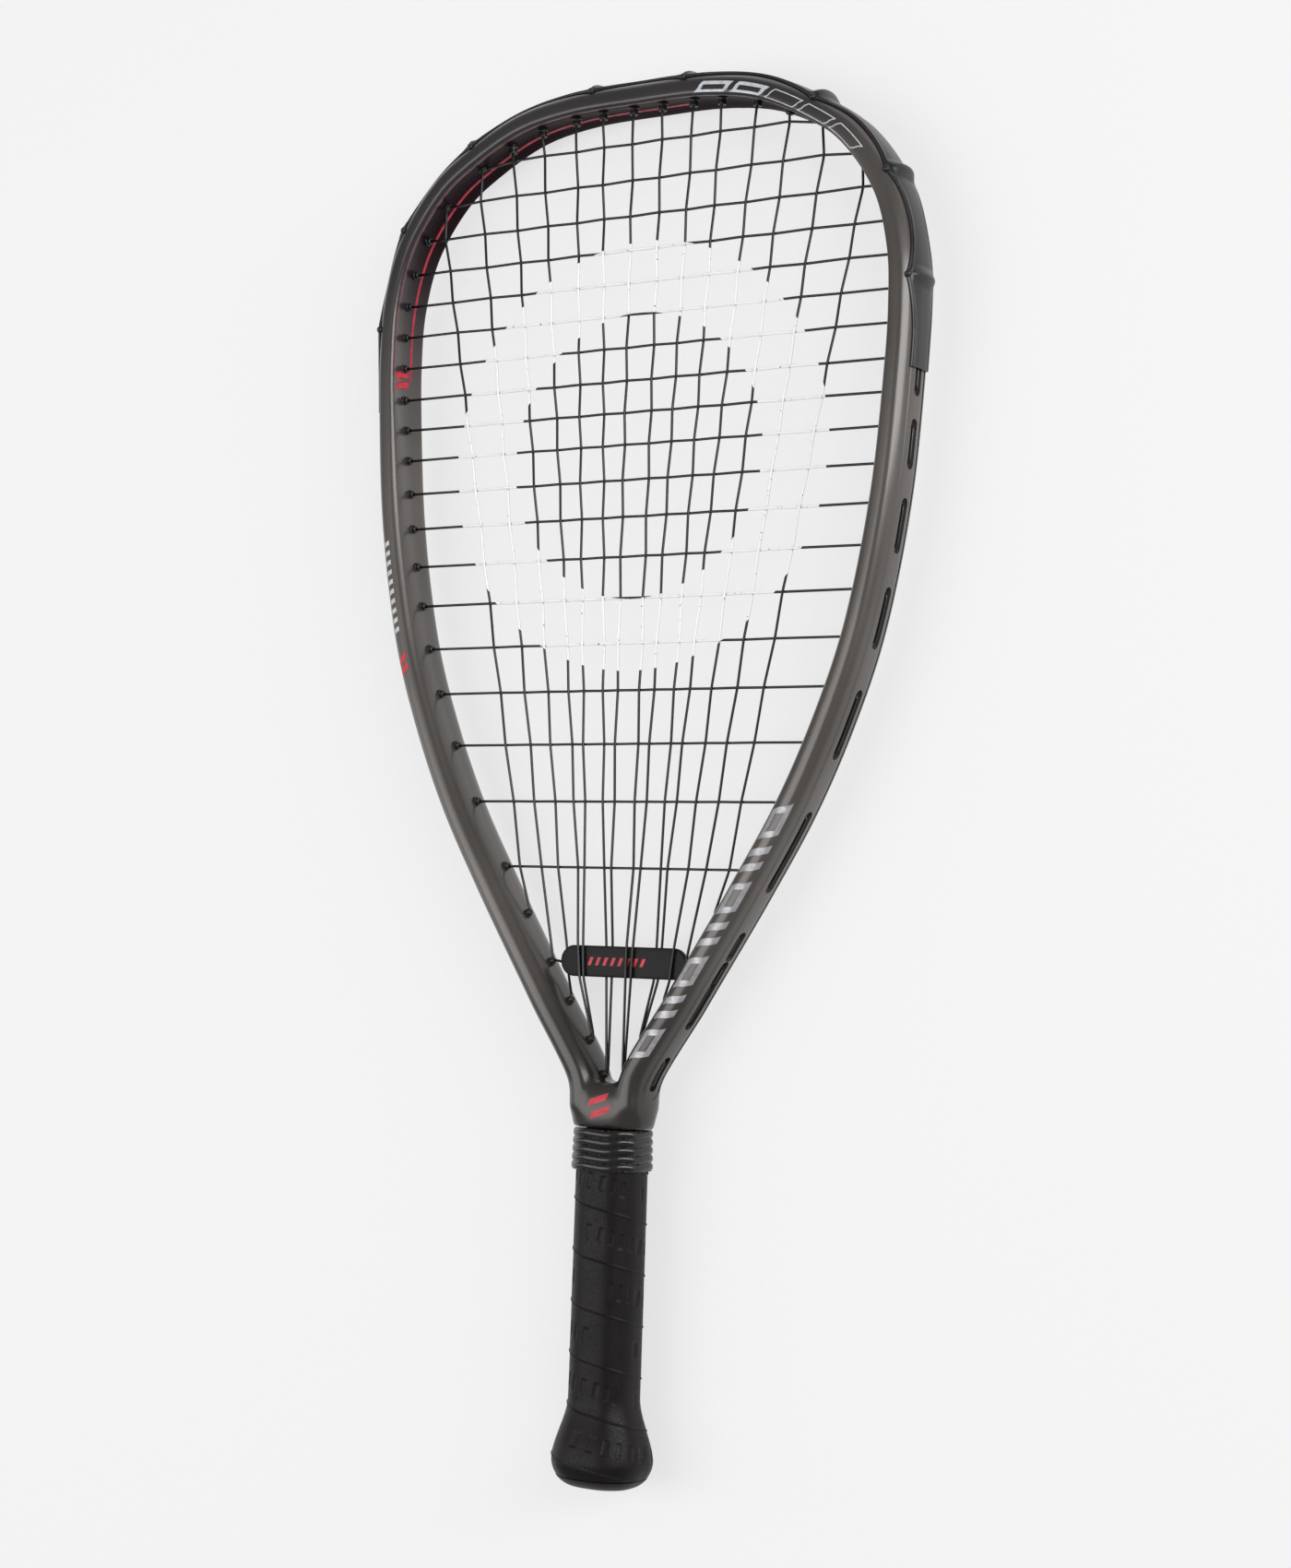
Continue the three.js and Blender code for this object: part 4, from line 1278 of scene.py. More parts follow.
@dataclass
class FrameTube:
    """The one-piece graphite frame: hoop, neck and tang."""

    hoop: Hoop
    paint: Material
    sides: int = 96
    stations: int = 700
    voxel: float = 0.8
    rounds: int = 30
    relaxing: float = 0.5
    firm: float = 1.0
    firm_fade: float = 3.0
    crisp: float = 34.0
    neck_width: float = 36.0
    shoulder: float = 139.7
    shoulder_width: float = 33.0
    shoulder_depth: float = 20.5
    tang_width: float = 20.0
    tang_depth: float = 15.0
    tang_end: float = 12.0
    shoulder_lip: float = 0.3
    neck_full: float = 0.7
    neck_steps: tuple[tuple[float, float, float], ...] = ((0.4, 0.0, 0.0), (3.0, 0.3, 3.2), (8.0, 1.2, 6.4))
    web_steps: tuple[tuple[float, float, float], ...] = ((0.0, 2.4, 2.0), (4.0, 6.0, 0.0))
    web_top: float = 157.6
    snap_from: float = 156.5
    snap_full: float = 168.0
    channel_half: float = 5.9
    channel_flare: float = 0.4
    channel_floor: float = 4.7
    channel_far: float = 12.0
    channel_foot: float = 151.0
    channel_end: float = 5.0

    def oval(self, width: float, depth: float, height: float) -> Ring:
        """Gives a ring of the neck or the tang.

        Args:
            width: Its size along X.
            depth: Its size along Z.
            height: Where it lies.

        Returns:
            A level oval ring.
        """
        section = self.hoop.section
        ring = section.ring(0.0, self.sides)
        x = ring[:, 0] / section.half_width * width / 2
        z = ring[:, 1] / section.half_depth * depth / 2
        return level(np.stack([x, z], axis=1), height)

    def neck(self) -> Shape:
        """Gives the tang, the neck and the web between the arms' feet.

        Returns:
            Their shape, a loft of ovals.
        """
        depth = 2 * self.hoop.section.half_depth
        foot = self.hoop.foot
        web = 2 * self.hoop.foot_share * self.hoop.reach
        ovals = [
            (self.tang_width, self.tang_depth, self.tang_end),
            (self.tang_width, self.tang_depth, self.shoulder),
            (self.shoulder_width, self.shoulder_depth, self.shoulder + self.shoulder_lip),
            (self.neck_width, depth, self.shoulder + self.neck_full * (foot - self.shoulder)),
        ]
        ovals += [(self.neck_width - thinner, depth - flatter, foot + above)
                  for thinner, flatter, above in self.neck_steps]
        ovals += [(web - thinner, depth - flatter, self.web_top - below)
                  for thinner, flatter, below in self.web_steps]
        return loft([self.oval(*oval) for oval in ovals])

    def build(self) -> Piece:
        """Builds the frame in one skin.

        Returns:
            The frame.
        """
        hoop, section = self.hoop, self.hoop.section

        def ring_at(share: float) -> Ring:
            """Gives the section at a share of the hoop."""
            return section.ring(float(section.blend_at(hoop.height(share))), self.sides)

        tubes = hoop.sweep(ring_at, np.linspace(0, 1, self.stations))
        made = make_object("racket_frame", join([tubes, self.neck()]))
        remesh = made.modifiers.new("skin", "REMESH")
        remesh.mode = "VOXEL"
        remesh.voxel_size = self.voxel * MM
        apply_modifiers(made)
        self.relax(made)
        subtract(made, self.channel())
        smooth(made, self.crisp)
        dress(made, self.paint, ["frame"])
        return made

    def relax(self, made: Piece) -> None:
        """Eases the fork into a fillet, and draws the hoop's skin back to its true section.

        Args:
            made: The remeshed frame.
        """
        count = len(made.data.vertices)
        flat = np.empty(count * 3)
        made.data.vertices.foreach_get("co", flat)
        points = flat.reshape(-1, 3) / MM
        edges = np.empty(len(made.data.edges) * 2, int)
        made.data.edges.foreach_get("vertices", edges)
        a, b = edges.reshape(-1, 2).T
        degree = np.bincount(np.concatenate([a, b]), minlength=count)[:, None]
        soft = ease((points[:, 1] - self.shoulder - self.firm) / self.firm_fade)[:, None]
        for _ in range(self.rounds):
            total = np.zeros_like(points)
            for axis in range(3):
                places = points[:, axis]
                total[:, axis] = np.bincount(a, places[b], count) + np.bincount(b, places[a], count)
            points += (total / degree - points) * self.relaxing * soft
        share, out = self.hoop.nearest(points)
        snapped = self.hoop.at(share, *self.hoop.section.snap(out, points[:, 2], points[:, 1]))
        weight = ease((points[:, 1] - self.snap_from) / (self.snap_full - self.snap_from))[:, None]
        points = points * (1 - weight) + snapped * weight
        made.data.vertices.foreach_set("co", (points * MM).ravel())
        made.data.update()

    def channel(self) -> Piece:
        """Gives the cutter of the wide channel round the outside.

        Returns:
            The cutter, narrowed at its ends so that they are round.
        """
        start = self.hoop.share_at(self.channel_foot, 0.0)
        half, floor, far, flare = self.channel_half, self.channel_floor, self.channel_far, self.channel_flare
        ring = np.array([[floor, -half], [far, -half - flare], [far, half + flare], [floor, half]])
        fade = np.linspace(0, 1, 8) ** 0.5
        ends = np.linspace(start, start + self.channel_end / self.hoop.length, 8)
        shares = np.concatenate([ends, np.linspace(ends[-1], 1 - ends[-1], 500)[1:-1], 1 - ends[::-1]])
        widths = np.concatenate([fade, np.ones(498), fade[::-1]])

        def ring_at(share: float) -> Ring:
            """Narrows the ring towards its ends."""
            return ring * np.array([1.0, max(float(np.interp(share, shares, widths)), 0.05)])

        return make_object("channel_cutter", self.hoop.sweep(ring_at, shares))


@dataclass
class HeadGuard:
    """The black guard round the top half, with scalloped flanges, tips and rub nubs."""

    hoop: Hoop
    plan: StringPlan
    nylon: Material
    stations: int = 1000
    sides: int = 45
    fit: float = 0.05
    thickness: float = 0.8
    end_height: float = 432.0
    reach: float = 6.3
    tip_reach: float = 9.6
    tip_power: float = 1.9
    end_sweep: float = 26.0
    nub_length: float = 8.0
    nub_power: float = 1.5
    rim: float = 0.45
    rim_width: float = 0.9
    rim_round: float = 0.6
    rim_share: float = 0.8
    rim_nose: tuple[float, float] = (0.1, 0.25)
    fold: float = 0.3
    fold_width: float = 1.1
    knob: float = 1.35
    knob_tip: float = 0.01
    knob_share: float = 0.8
    knob_inset: float = 0.5
    knob_root_share: float = 0.6
    knob_seat_share: float = 0.9
    knob_sides: int = 16
    nub_heights: tuple[float, ...] = (0.784, 0.891, 0.974)
    nub_rises: tuple[float, ...] = (1.55, 2.3, 2.3, 1.6)
    nub_top: float = 0.182
    nub_depth: float = 8.6

    def nub_shares(self) -> np.ndarray:
        """Gives the shares of all nubs.

        Returns:
            The shares, in order from the left.
        """
        out = self.hoop.section.half_width + self.fit
        sides = [self.hoop.share_at(self.plan.height(s), out) for s in self.nub_heights]
        places = np.linspace(sides[-1], 0.5, 2000)
        top = float(np.interp(-self.nub_top * self.hoop.reach, self.hoop.at(places, out, 0.0)[:, 0], places))
        half = sides + [top]
        return np.array(half + [1 - s for s in reversed(half)])

    def edge_reach(self, share: float, nubs: np.ndarray) -> float:
        """Gives how far forward a flange reaches: it hangs like a chain from tip to tip.

        Args:
            share: The place along the hoop.
            nubs: The shares of all nubs, which have the tips.

        Returns:
            The forward distance of the flange's edge.
        """
        gap = float(np.abs(nubs - share).min()) * self.hoop.length
        if nubs[0] < share < nubs[-1]:
            after = int(np.searchsorted(nubs, share))
            half = (nubs[after] - nubs[after - 1]) * self.hoop.length / 2
        else:
            half = self.end_sweep
        return self.reach + (self.tip_reach - self.reach) * max(1 - gap / half, 0.0) ** self.tip_power

    def ring(self, share: float, nubs: np.ndarray) -> Ring:
        """Gives the guard's section.

        Args:
            share: The place along the hoop.
            nubs: The shares of all nubs.

        Returns:
            The outside, then the inside, with a spare point between them at both edges.
        """
        section = self.hoop.section
        gaps = np.abs(nubs - share) * self.hoop.length
        gap = float(gaps.min())
        rises = self.nub_rises + self.nub_rises[::-1]
        reach = self.edge_reach(share, nubs)
        proud = rises[int(gaps.argmin())] * max(1 - (gap / (self.nub_length / 2)) ** 2, 0.0) ** self.nub_power
        spread = np.sin(np.linspace(-math.pi / 2, math.pi / 2, self.sides))
        angles = section.angle_for(reach, self.fit) * spread
        middle = section.at(angles, 0.0, self.fit + self.thickness)
        forward = middle[:, 1]
        edge = reach - np.abs(forward)
        lift = self.rim * np.exp(-((edge / self.rim_width) ** 2))
        lift += self.fold * math.exp(-((gap / self.fold_width) ** 2)) * np.clip(edge / 2, 0, 1)
        lift += proud * np.clip(1 - (forward / self.nub_depth) ** 2, 0, 1) ** 0.5
        inside = section.at(angles, 0.0, self.fit)
        normal = middle - inside
        normal /= np.linalg.norm(normal, axis=1)[:, None]
        rounded = 1 - np.sqrt(1 - np.clip(1 - edge / self.rim_round, 0, 1) ** 2)
        lift -= self.thickness * rounded * self.rim_share
        outside = middle + normal * lift[:, None]
        sunk, beyond = self.rim_nose
        front, rear = ([(outside[end] + inside[end]) / 2 + np.array([-sunk, way * beyond])]
                       for end, way in ((-1, 1), (0, -1)))
        return np.vstack([outside, front, inside[::-1], rear])

    def knobs(self, nubs: np.ndarray) -> list[Shape]:
        """Gives the round knob at every tip, in front and behind.

        Args:
            nubs: The shares of all nubs.

        Returns:
            The knobs.
        """
        section = self.hoop.section
        shapes = []
        turns = np.linspace(0, math.pi / 2, 8)
        profile = [(self.knob * math.cos(t) + self.knob_tip, self.knob * self.knob_share * math.sin(t))
                   for t in turns]
        for nub in nubs:
            for way in (-1, 1):
                angle = way * section.angle_for(self.tip_reach - self.knob_inset, self.fit)
                low, high = (section.at(angle, 0.0, extra) for extra in (self.fit, self.fit + self.thickness))
                base = self.hoop.at(nub, *low)
                axis = self.hoop.at(nub, *high) - base
                size = np.linalg.norm(axis)
                foot = [(self.knob, -self.knob_root_share * size)]
                seat = base + axis * self.knob_seat_share
                shapes.append(turned(foot + profile, seat, axis / size, self.knob_sides))
        return shapes

    def build(self) -> None:
        """Builds the guard."""
        nubs = self.nub_shares()
        start = self.hoop.share_at(self.end_height, self.hoop.section.half_width)
        skin = self.hoop.sweep(lambda s: self.ring(s, nubs), np.linspace(start, 1 - start, self.stations))
        made = make_object("guard_moulding", join([skin] + self.knobs(nubs)), 50.0)
        dress(made, self.nylon, ["head_guard"])


@dataclass
class GrommetStrips:
    """The strip in the outer channel with a pocket for each run of string, and the grommets' barrels."""

    hoop: Hoop
    plan: StringPlan
    paint: Material
    nylon: Material
    stations: int = 420
    crisp: float = 34.0
    floor: float = 4.9
    half: float = 5.5
    foot: float = 151.0
    sink: float = 0.15
    edge_round: float = 0.35
    edge_share: float = 0.6
    parting: float = 0.2
    pocket_half: float = 2.3
    pocket_floor: float = 4.0
    pocket_far: float = 12.0
    barrel: float = 1.6
    bulb: float = 1.8
    bulb_waist: float = 0.86
    bore: float = 0.9
    collar: float = 0.35
    root: float = 3.0

    def strip_ring(self, share: float) -> Ring:
        """Gives the strip's section, which is the same at every share: flat inside, crowned outside.

        Args:
            share: The place along the hoop; not used.

        Returns:
            The outward and forward distances.
        """
        section = self.hoop.section
        forward = np.linspace(-self.half, self.half, 17)
        surface = section.at(np.array([section.angle_for(z) for z in forward]), 0.0, -self.sink)[:, 0]
        edge = np.clip((self.half - np.abs(forward)) / self.edge_round, 0, 1) ** 0.5
        crown = self.floor + (surface - self.floor) * (self.edge_share + (1 - self.edge_share) * edge)
        outside = np.stack([crown, forward], axis=1)
        return np.vstack([outside, [[self.floor, self.half], [self.floor, -self.half]]])

    def strip(self, side: Side) -> None:
        """Builds one side's strip, with its pockets.

        Args:
            side: The side of the frame.
        """
        start = self.hoop.share_at(self.foot, 0.0)
        shares = np.linspace(start, 0.5 - self.parting / self.hoop.length, self.stations)
        place = shares if side is Side.LEFT else 1 - shares
        word = side.name.lower()
        made = make_object(f"channel_strip_{word}", self.hoop.sweep(self.strip_ring, place))
        runs = self.plan.runs(side)
        for batch in (runs[::2], runs[1::2]):
            subtract(made, make_object("pocket_cutter", join([self.pocket(pair, side) for pair in batch])))
        smooth(made, self.crisp)
        dress(made, self.paint, [f"grommet_strip_{word}"])

    def pocket(self, pair: tuple[float, float], side: Side) -> Shape:
        """Gives the cutter of a round-ended pocket from one hole to the next.

        Args:
            pair: The two holes, counted from the side's own foot.
            side: The side of the frame.

        Returns:
            The cutter's shape.
        """
        low, high = min(pair), max(pair)
        radius = self.pocket_half / self.hoop.length
        turns = np.linspace(0, math.pi / 2, 8)
        ends = low - radius * np.cos(turns), high + radius * np.sin(turns)
        widths = np.concatenate([np.sin(turns), np.ones(20), np.cos(turns)])
        shares = np.concatenate([ends[0], np.linspace(low, high, 22)[1:-1], ends[1]])
        floor, far = self.pocket_floor, self.pocket_far
        rings = []
        for share, width in zip(shares, widths):
            half = max(width, 0.04) * self.pocket_half
            flat = np.array([[floor, -half], [far, -half], [far, half], [floor, half]])
            rings.append(self.hoop.at(share if side is Side.LEFT else 1 - share, *flat.T))
        return loft(rings)

    def barrels(self, side: Side, shares: Sequence[float], root: float) -> Shape:
        """Gives the barrels that line the holes and stand out of the inner wall.

        Args:
            side: The side of the frame.
            shares: The holes, counted from the side's own foot.
            root: How far the barrels reach into the frame.

        Returns:
            All barrels in one shape.
        """
        flip = np.array([-side.value, 1.0, 1.0])
        shapes = []
        for share in shares:
            top, tip = self.plan.is_top(share), self.plan.reach_of(share)
            size = self.bulb if top else self.barrel
            waist = size * self.bulb_waist if top else size
            # From the root to the collar against the wall, the waist and the rounded tip.
            profile = [
                (self.bore * 0.96, -root), (waist, -root), (waist, -0.6), (size + self.collar, -0.5),
                (size + self.collar, 0.45), (size, 0.62), (waist, tip * 0.45), (size, tip - 0.7),
                (size - 0.12, tip - 0.2), (size - 0.4, tip), (self.bore, tip), (self.bore * 0.96, tip - 0.3),
            ]
            base = self.hoop.on_wall(share, 0.0) * flip
            shapes.append(turned(profile, base, self.plan.axis(share) * flip, 20))
        return join(shapes)

    def build(self) -> None:
        """Builds both strips and every grommet."""
        reach = self.hoop.section.half_width + self.floor
        for side in Side:
            word = side.name.lower()
            self.strip(side)
            made = make_object(f"head_grommets_{word}", self.barrels(side, self.plan.head_holes(), self.root))
            dress(made, self.nylon)
            for place, share in enumerate(self.plan.throat, 1):
                made = make_object(f"arm_grommet_{word}_{place}", self.barrels(side, [share], reach))
                dress(made, self.nylon, [f"throat_grommet_{word}_{place}"])


@dataclass
class StringBed:
    """The two strings and the damper bar that is threaded through the middle mains."""

    plan: StringPlan
    nylon: Material
    rubber: Material
    ink: Material
    radius: float = 0.54
    sides: int = 10
    bend: float = 2.0
    bend_steps: int = 4
    crisp: float = 60.0
    damper_length: float = 59.0
    damper_height: float = 12.4
    damper_thickness: float = 2.5
    damper_offset: float = 2.3
    damper_edge: float = 0.8
    damper_crown: tuple[tuple[float, float], ...] = ((0.5, 0.08), (0.9, 0.1))
    dashes: int = 8
    dash_pitch: float = 3.5
    dash_offset: float = -2.7
    dash_corners: tuple[tuple[float, float], ...] = ((-1.4, -1.6), (0.1, -1.6), (1.4, 1.6), (-0.1, 1.6))
    dash_sink: float = 0.15
    dash_rise: float = 0.04

    def strings(self) -> None:
        """Builds both strings."""
        for name, path in (("mains", self.plan.mains_path()), ("crosses", self.plan.crosses_path())):
            eased = eased_line(path, self.bend, self.bend_steps)
            made = make_object(f"{name}_strand", tube(eased, self.radius, self.sides), self.crisp)
            dress(made, self.nylon, [f"string_{name}"])

    def middle(self) -> float:
        """Gives the height of the damper's middle."""
        return self.plan.height(self.plan.cross_shares[-1]) + self.plan.bar_rise

    def damper(self) -> None:
        """Builds the damper: a flat rubber bar with round ends and eased edges, between the mains."""
        half, straight = self.damper_height / 2, self.damper_length / 2 - self.damper_height / 2
        turns = np.linspace(-math.pi / 2, math.pi / 2, 25)
        normals = np.stack([np.cos(turns), np.sin(turns)], axis=1)
        right = np.stack([straight + half * np.cos(turns), half * np.sin(turns)], axis=1)
        outline, normals = np.vstack([right, -right]), np.vstack([normals, -normals])
        thick, edge = self.damper_thickness / 2, self.damper_edge
        rounding = np.linspace(0, math.pi / 2, 6)
        levels = [(edge * (1 - math.cos(t)), thick - edge + edge * math.sin(t)) for t in rounding]
        levels += [(half * share, thick + rise) for share, rise in self.damper_crown]
        levels = [(inset, -forward) for inset, forward in reversed(levels)] + levels
        rings = []
        for inset, forward in levels:
            flat = outline - normals * inset
            x, y = flat[:, 0] + self.damper_offset, flat[:, 1] + self.middle()
            rings.append(np.stack([x, y, np.full(len(x), forward)], axis=1))
        bar = make_object("damper_bar", loft(rings), self.crisp)
        dress(bar, self.rubber, ["string_damper"])

    def damper_dashes(self) -> None:
        """Builds the row of small slanted dashes printed on the damper."""
        front = self.damper_thickness / 2 + self.damper_crown[-1][1]
        shapes = []
        for place in range(self.dashes):
            x = self.damper_offset + self.dash_offset + (place - (self.dashes - 1) / 2) * self.dash_pitch
            flat = np.array(self.dash_corners) + [x, self.middle()]
            depths = (front - self.dash_sink, front + self.dash_rise)
            shapes.append(loft([np.column_stack([flat, np.full(len(flat), z)]) for z in depths]))
        dress(make_object("damper_dashes", join(shapes)), self.ink)

    def build(self) -> None:
        """Builds the strings and the damper with its print."""
        self.strings()
        self.damper()
        self.damper_dashes()


@dataclass
class Handle:
    """The grip band, the ribbed collar and the butt cap."""

    tacky: Material
    gloss: Material
    rubber: Material
    width: float = 28.5
    depth: float = 25.0
    corner_power: float = 2.35
    facet: float = 0.005
    butt_width: float = 40.2
    butt_depth: float = 35.4
    butt_full: float = 9.0
    butt_start: float = 35.0
    foot_rise: float = 11.0
    foot_inset: float = 9.5
    wrap_from: float = 4.3
    wrap_to: float = 123.1
    wrap_inset: float = 0.5
    wrap_rows: int = 440
    wrap_sides: int = 216
    seam_top: float = 108.8
    seam_share: float = 0.04
    pitch: float = 20.0
    lip: float = 0.45
    lip_height: float = 0.75
    lip_lean: float = 0.3
    press_depth: float = 0.3
    press_pitch: float = 4.4
    press_lean: float = 3.0
    press_shift: float = 0.38
    press_bar: tuple[float, float] = (0.24, 0.1)
    press_group: tuple[float, float] = (0.16, 0.01)
    press_row: tuple[float, float] = (0.17, 0.05)
    collar_from: float = 123.4
    collar_to: float = 139.4
    collar_width: float = 32.0
    collar_depth: float = 28.2
    collar_taper: float = 0.03
    collar_rows: int = 90
    collar_sides: int = 144
    ribs: int = 5
    rib_depth: float = 0.8
    rib_power: float = 0.6
    rib_wave: float = 0.1
    cap_rim: float = 4.0
    cap_sides: int = 96
    plug_top: float = 29.0
    plug_inset: float = 2.0
    cord_hole: float = 2.6
    cord_hole_depth: float = 3.5
    cord_hole_place: float = 6.5

    def outline(self, width: float, depth: float, count: int) -> Ring:
        """Gives the handle's softened eight-sided section.

        Args:
            width: Its size along X.
            depth: Its size along Z.
            count: Points round it.

        Returns:
            X and Z of each point.
        """
        angle = np.arange(count) / count * TAU
        facet = 1 - self.facet * np.cos(8 * angle)
        x, z = (fuller(wave, self.corner_power) for wave in (np.cos(angle), np.sin(angle)))
        return np.stack([x * width / 2 * facet, z * depth / 2 * facet], axis=1)

    def size_at(self, height: float) -> tuple[float, float]:
        """Gives the grip's size at a height, with the butt's flare and its rounded foot.

        Args:
            height: The height on the racket.

        Returns:
            The width and the depth.
        """
        grown = float(ease((self.butt_start - height) / (self.butt_start - self.butt_full)))
        low = min(max((self.foot_rise - height) / self.foot_rise, 0.0), 1.0)
        inset = self.foot_inset * (1 - math.sqrt(1 - low ** 2))
        width = self.width + grown * (self.butt_width - self.width) - 2 * inset
        return width, self.depth + grown * (self.butt_depth - self.depth) - 2 * inset

    def band(self) -> None:
        """Builds the grip band, whose edge steps over the turn below it, with its pressed bars."""
        angle = np.arange(self.wrap_sides) / self.wrap_sides
        rings = []
        for height in np.linspace(self.wrap_from, self.wrap_to, self.wrap_rows):
            width, depth = self.size_at(height)
            ring = self.outline(width - self.wrap_inset, depth - self.wrap_inset, self.wrap_sides)
            turn = (height - self.seam_top) / self.pitch - (angle - 0.25)
            phase = turn % 1.0
            step = np.where(phase < self.seam_share, ease((self.seam_share - phase) / self.seam_share), 0.0)
            step = step + self.lip_lean * (1 - phase)
            lift = self.lip * step * self.lip_height - self.press_depth * self.pressed(turn, phase, angle)
            rings.append(level(swell(ring, lift), height))
        dress(make_object("grip_band", loft(rings), 60.0), self.tacky, ["grip_wrap"])

    def pressed(self, turn: np.ndarray, phase: np.ndarray, angle: np.ndarray) -> np.ndarray:
        """Gives how deep the band is pressed, from 0 to 1: short slanted bars in groups along its middle.

        Args:
            turn: Turns of the band up to each place.
            phase: Share of the band's width at each place.
            angle: Share of a turn round the handle.

        Returns:
            The depth share at each place.
        """
        girth = math.pi * (self.width + self.depth) / 2
        along = (angle * girth + phase * self.press_lean) % self.press_pitch / self.press_pitch
        place = (np.floor(turn) * self.press_shift + angle) % 0.5
        depth = 1.0
        for at, middle, (half, edge) in (
            (along, 0.5, self.press_bar), (place, 0.25, self.press_group), (phase, 0.52, self.press_row),
        ):
            depth = depth * ease((half - np.abs(at - middle)) / edge)
        return depth

    def ribbed_collar(self) -> None:
        """Builds the collar with its wavy ribs."""
        angle = np.arange(self.collar_sides) / self.collar_sides * TAU
        rise = self.collar_to - self.collar_from
        rings = []
        for share in np.linspace(0, 1, self.collar_rows):
            wave = share * self.ribs + self.rib_wave * np.sin(6 * angle)
            bulge = np.abs(np.sin(wave * math.pi)) ** self.rib_power
            taper = 1 - self.collar_taper * share
            ring = self.outline(self.collar_width * taper, self.collar_depth * taper, self.collar_sides)
            rings.append(level(swell(ring, -self.rib_depth * (1 - bulge)), self.collar_from + share * rise))
        dress(make_object("ribbed_collar", loft(rings), 60.0), self.gloss, ["grip_collar"])

    def cap(self) -> None:
        """Builds the butt cap's rounded end and its plug, with the two holes for a wrist cord."""
        rings = []
        levels = [(height, 0.0) for height in self.cap_rim * np.linspace(0, 1, 14) ** 2]
        levels += [(self.cap_rim + 0.1, self.plug_inset), (self.plug_top, self.plug_inset)]
        for height, inset in levels:
            width, depth = self.size_at(height)
            rings.append(level(self.outline(width - 2 * inset, depth - 2 * inset, self.cap_sides), height))
        made = make_object("butt_end", loft(rings), 40.0)
        profile = [(self.cord_hole, -2.0), (self.cord_hole, self.cord_hole_depth)]
        holes = [turned(profile, np.array([x, 0.0, 0.0]), np.array([0.0, 1.0, 0.0]), 32)
                 for x in (-self.cord_hole_place, self.cord_hole_place)]
        subtract(made, make_object("cord_hole_cutter", join(holes)))
        smooth(made, 40.0)
        dress(made, self.rubber, ["butt_cap"])

    def build(self) -> None:
        """Builds the whole handle."""
        self.band()
        self.ribbed_collar()
        self.cap()


@dataclass(frozen=True)
class Box:
    """A slanted box printed round the section: its span in degrees, and its other sizes in millimetres.

    Zero degrees is straight outwards, and 90 is straight forward. The slant is how far the high edge is
    shifted along the hoop.
    """

    length: float
    low: float
    high: float
    slant: float
    stroke: float


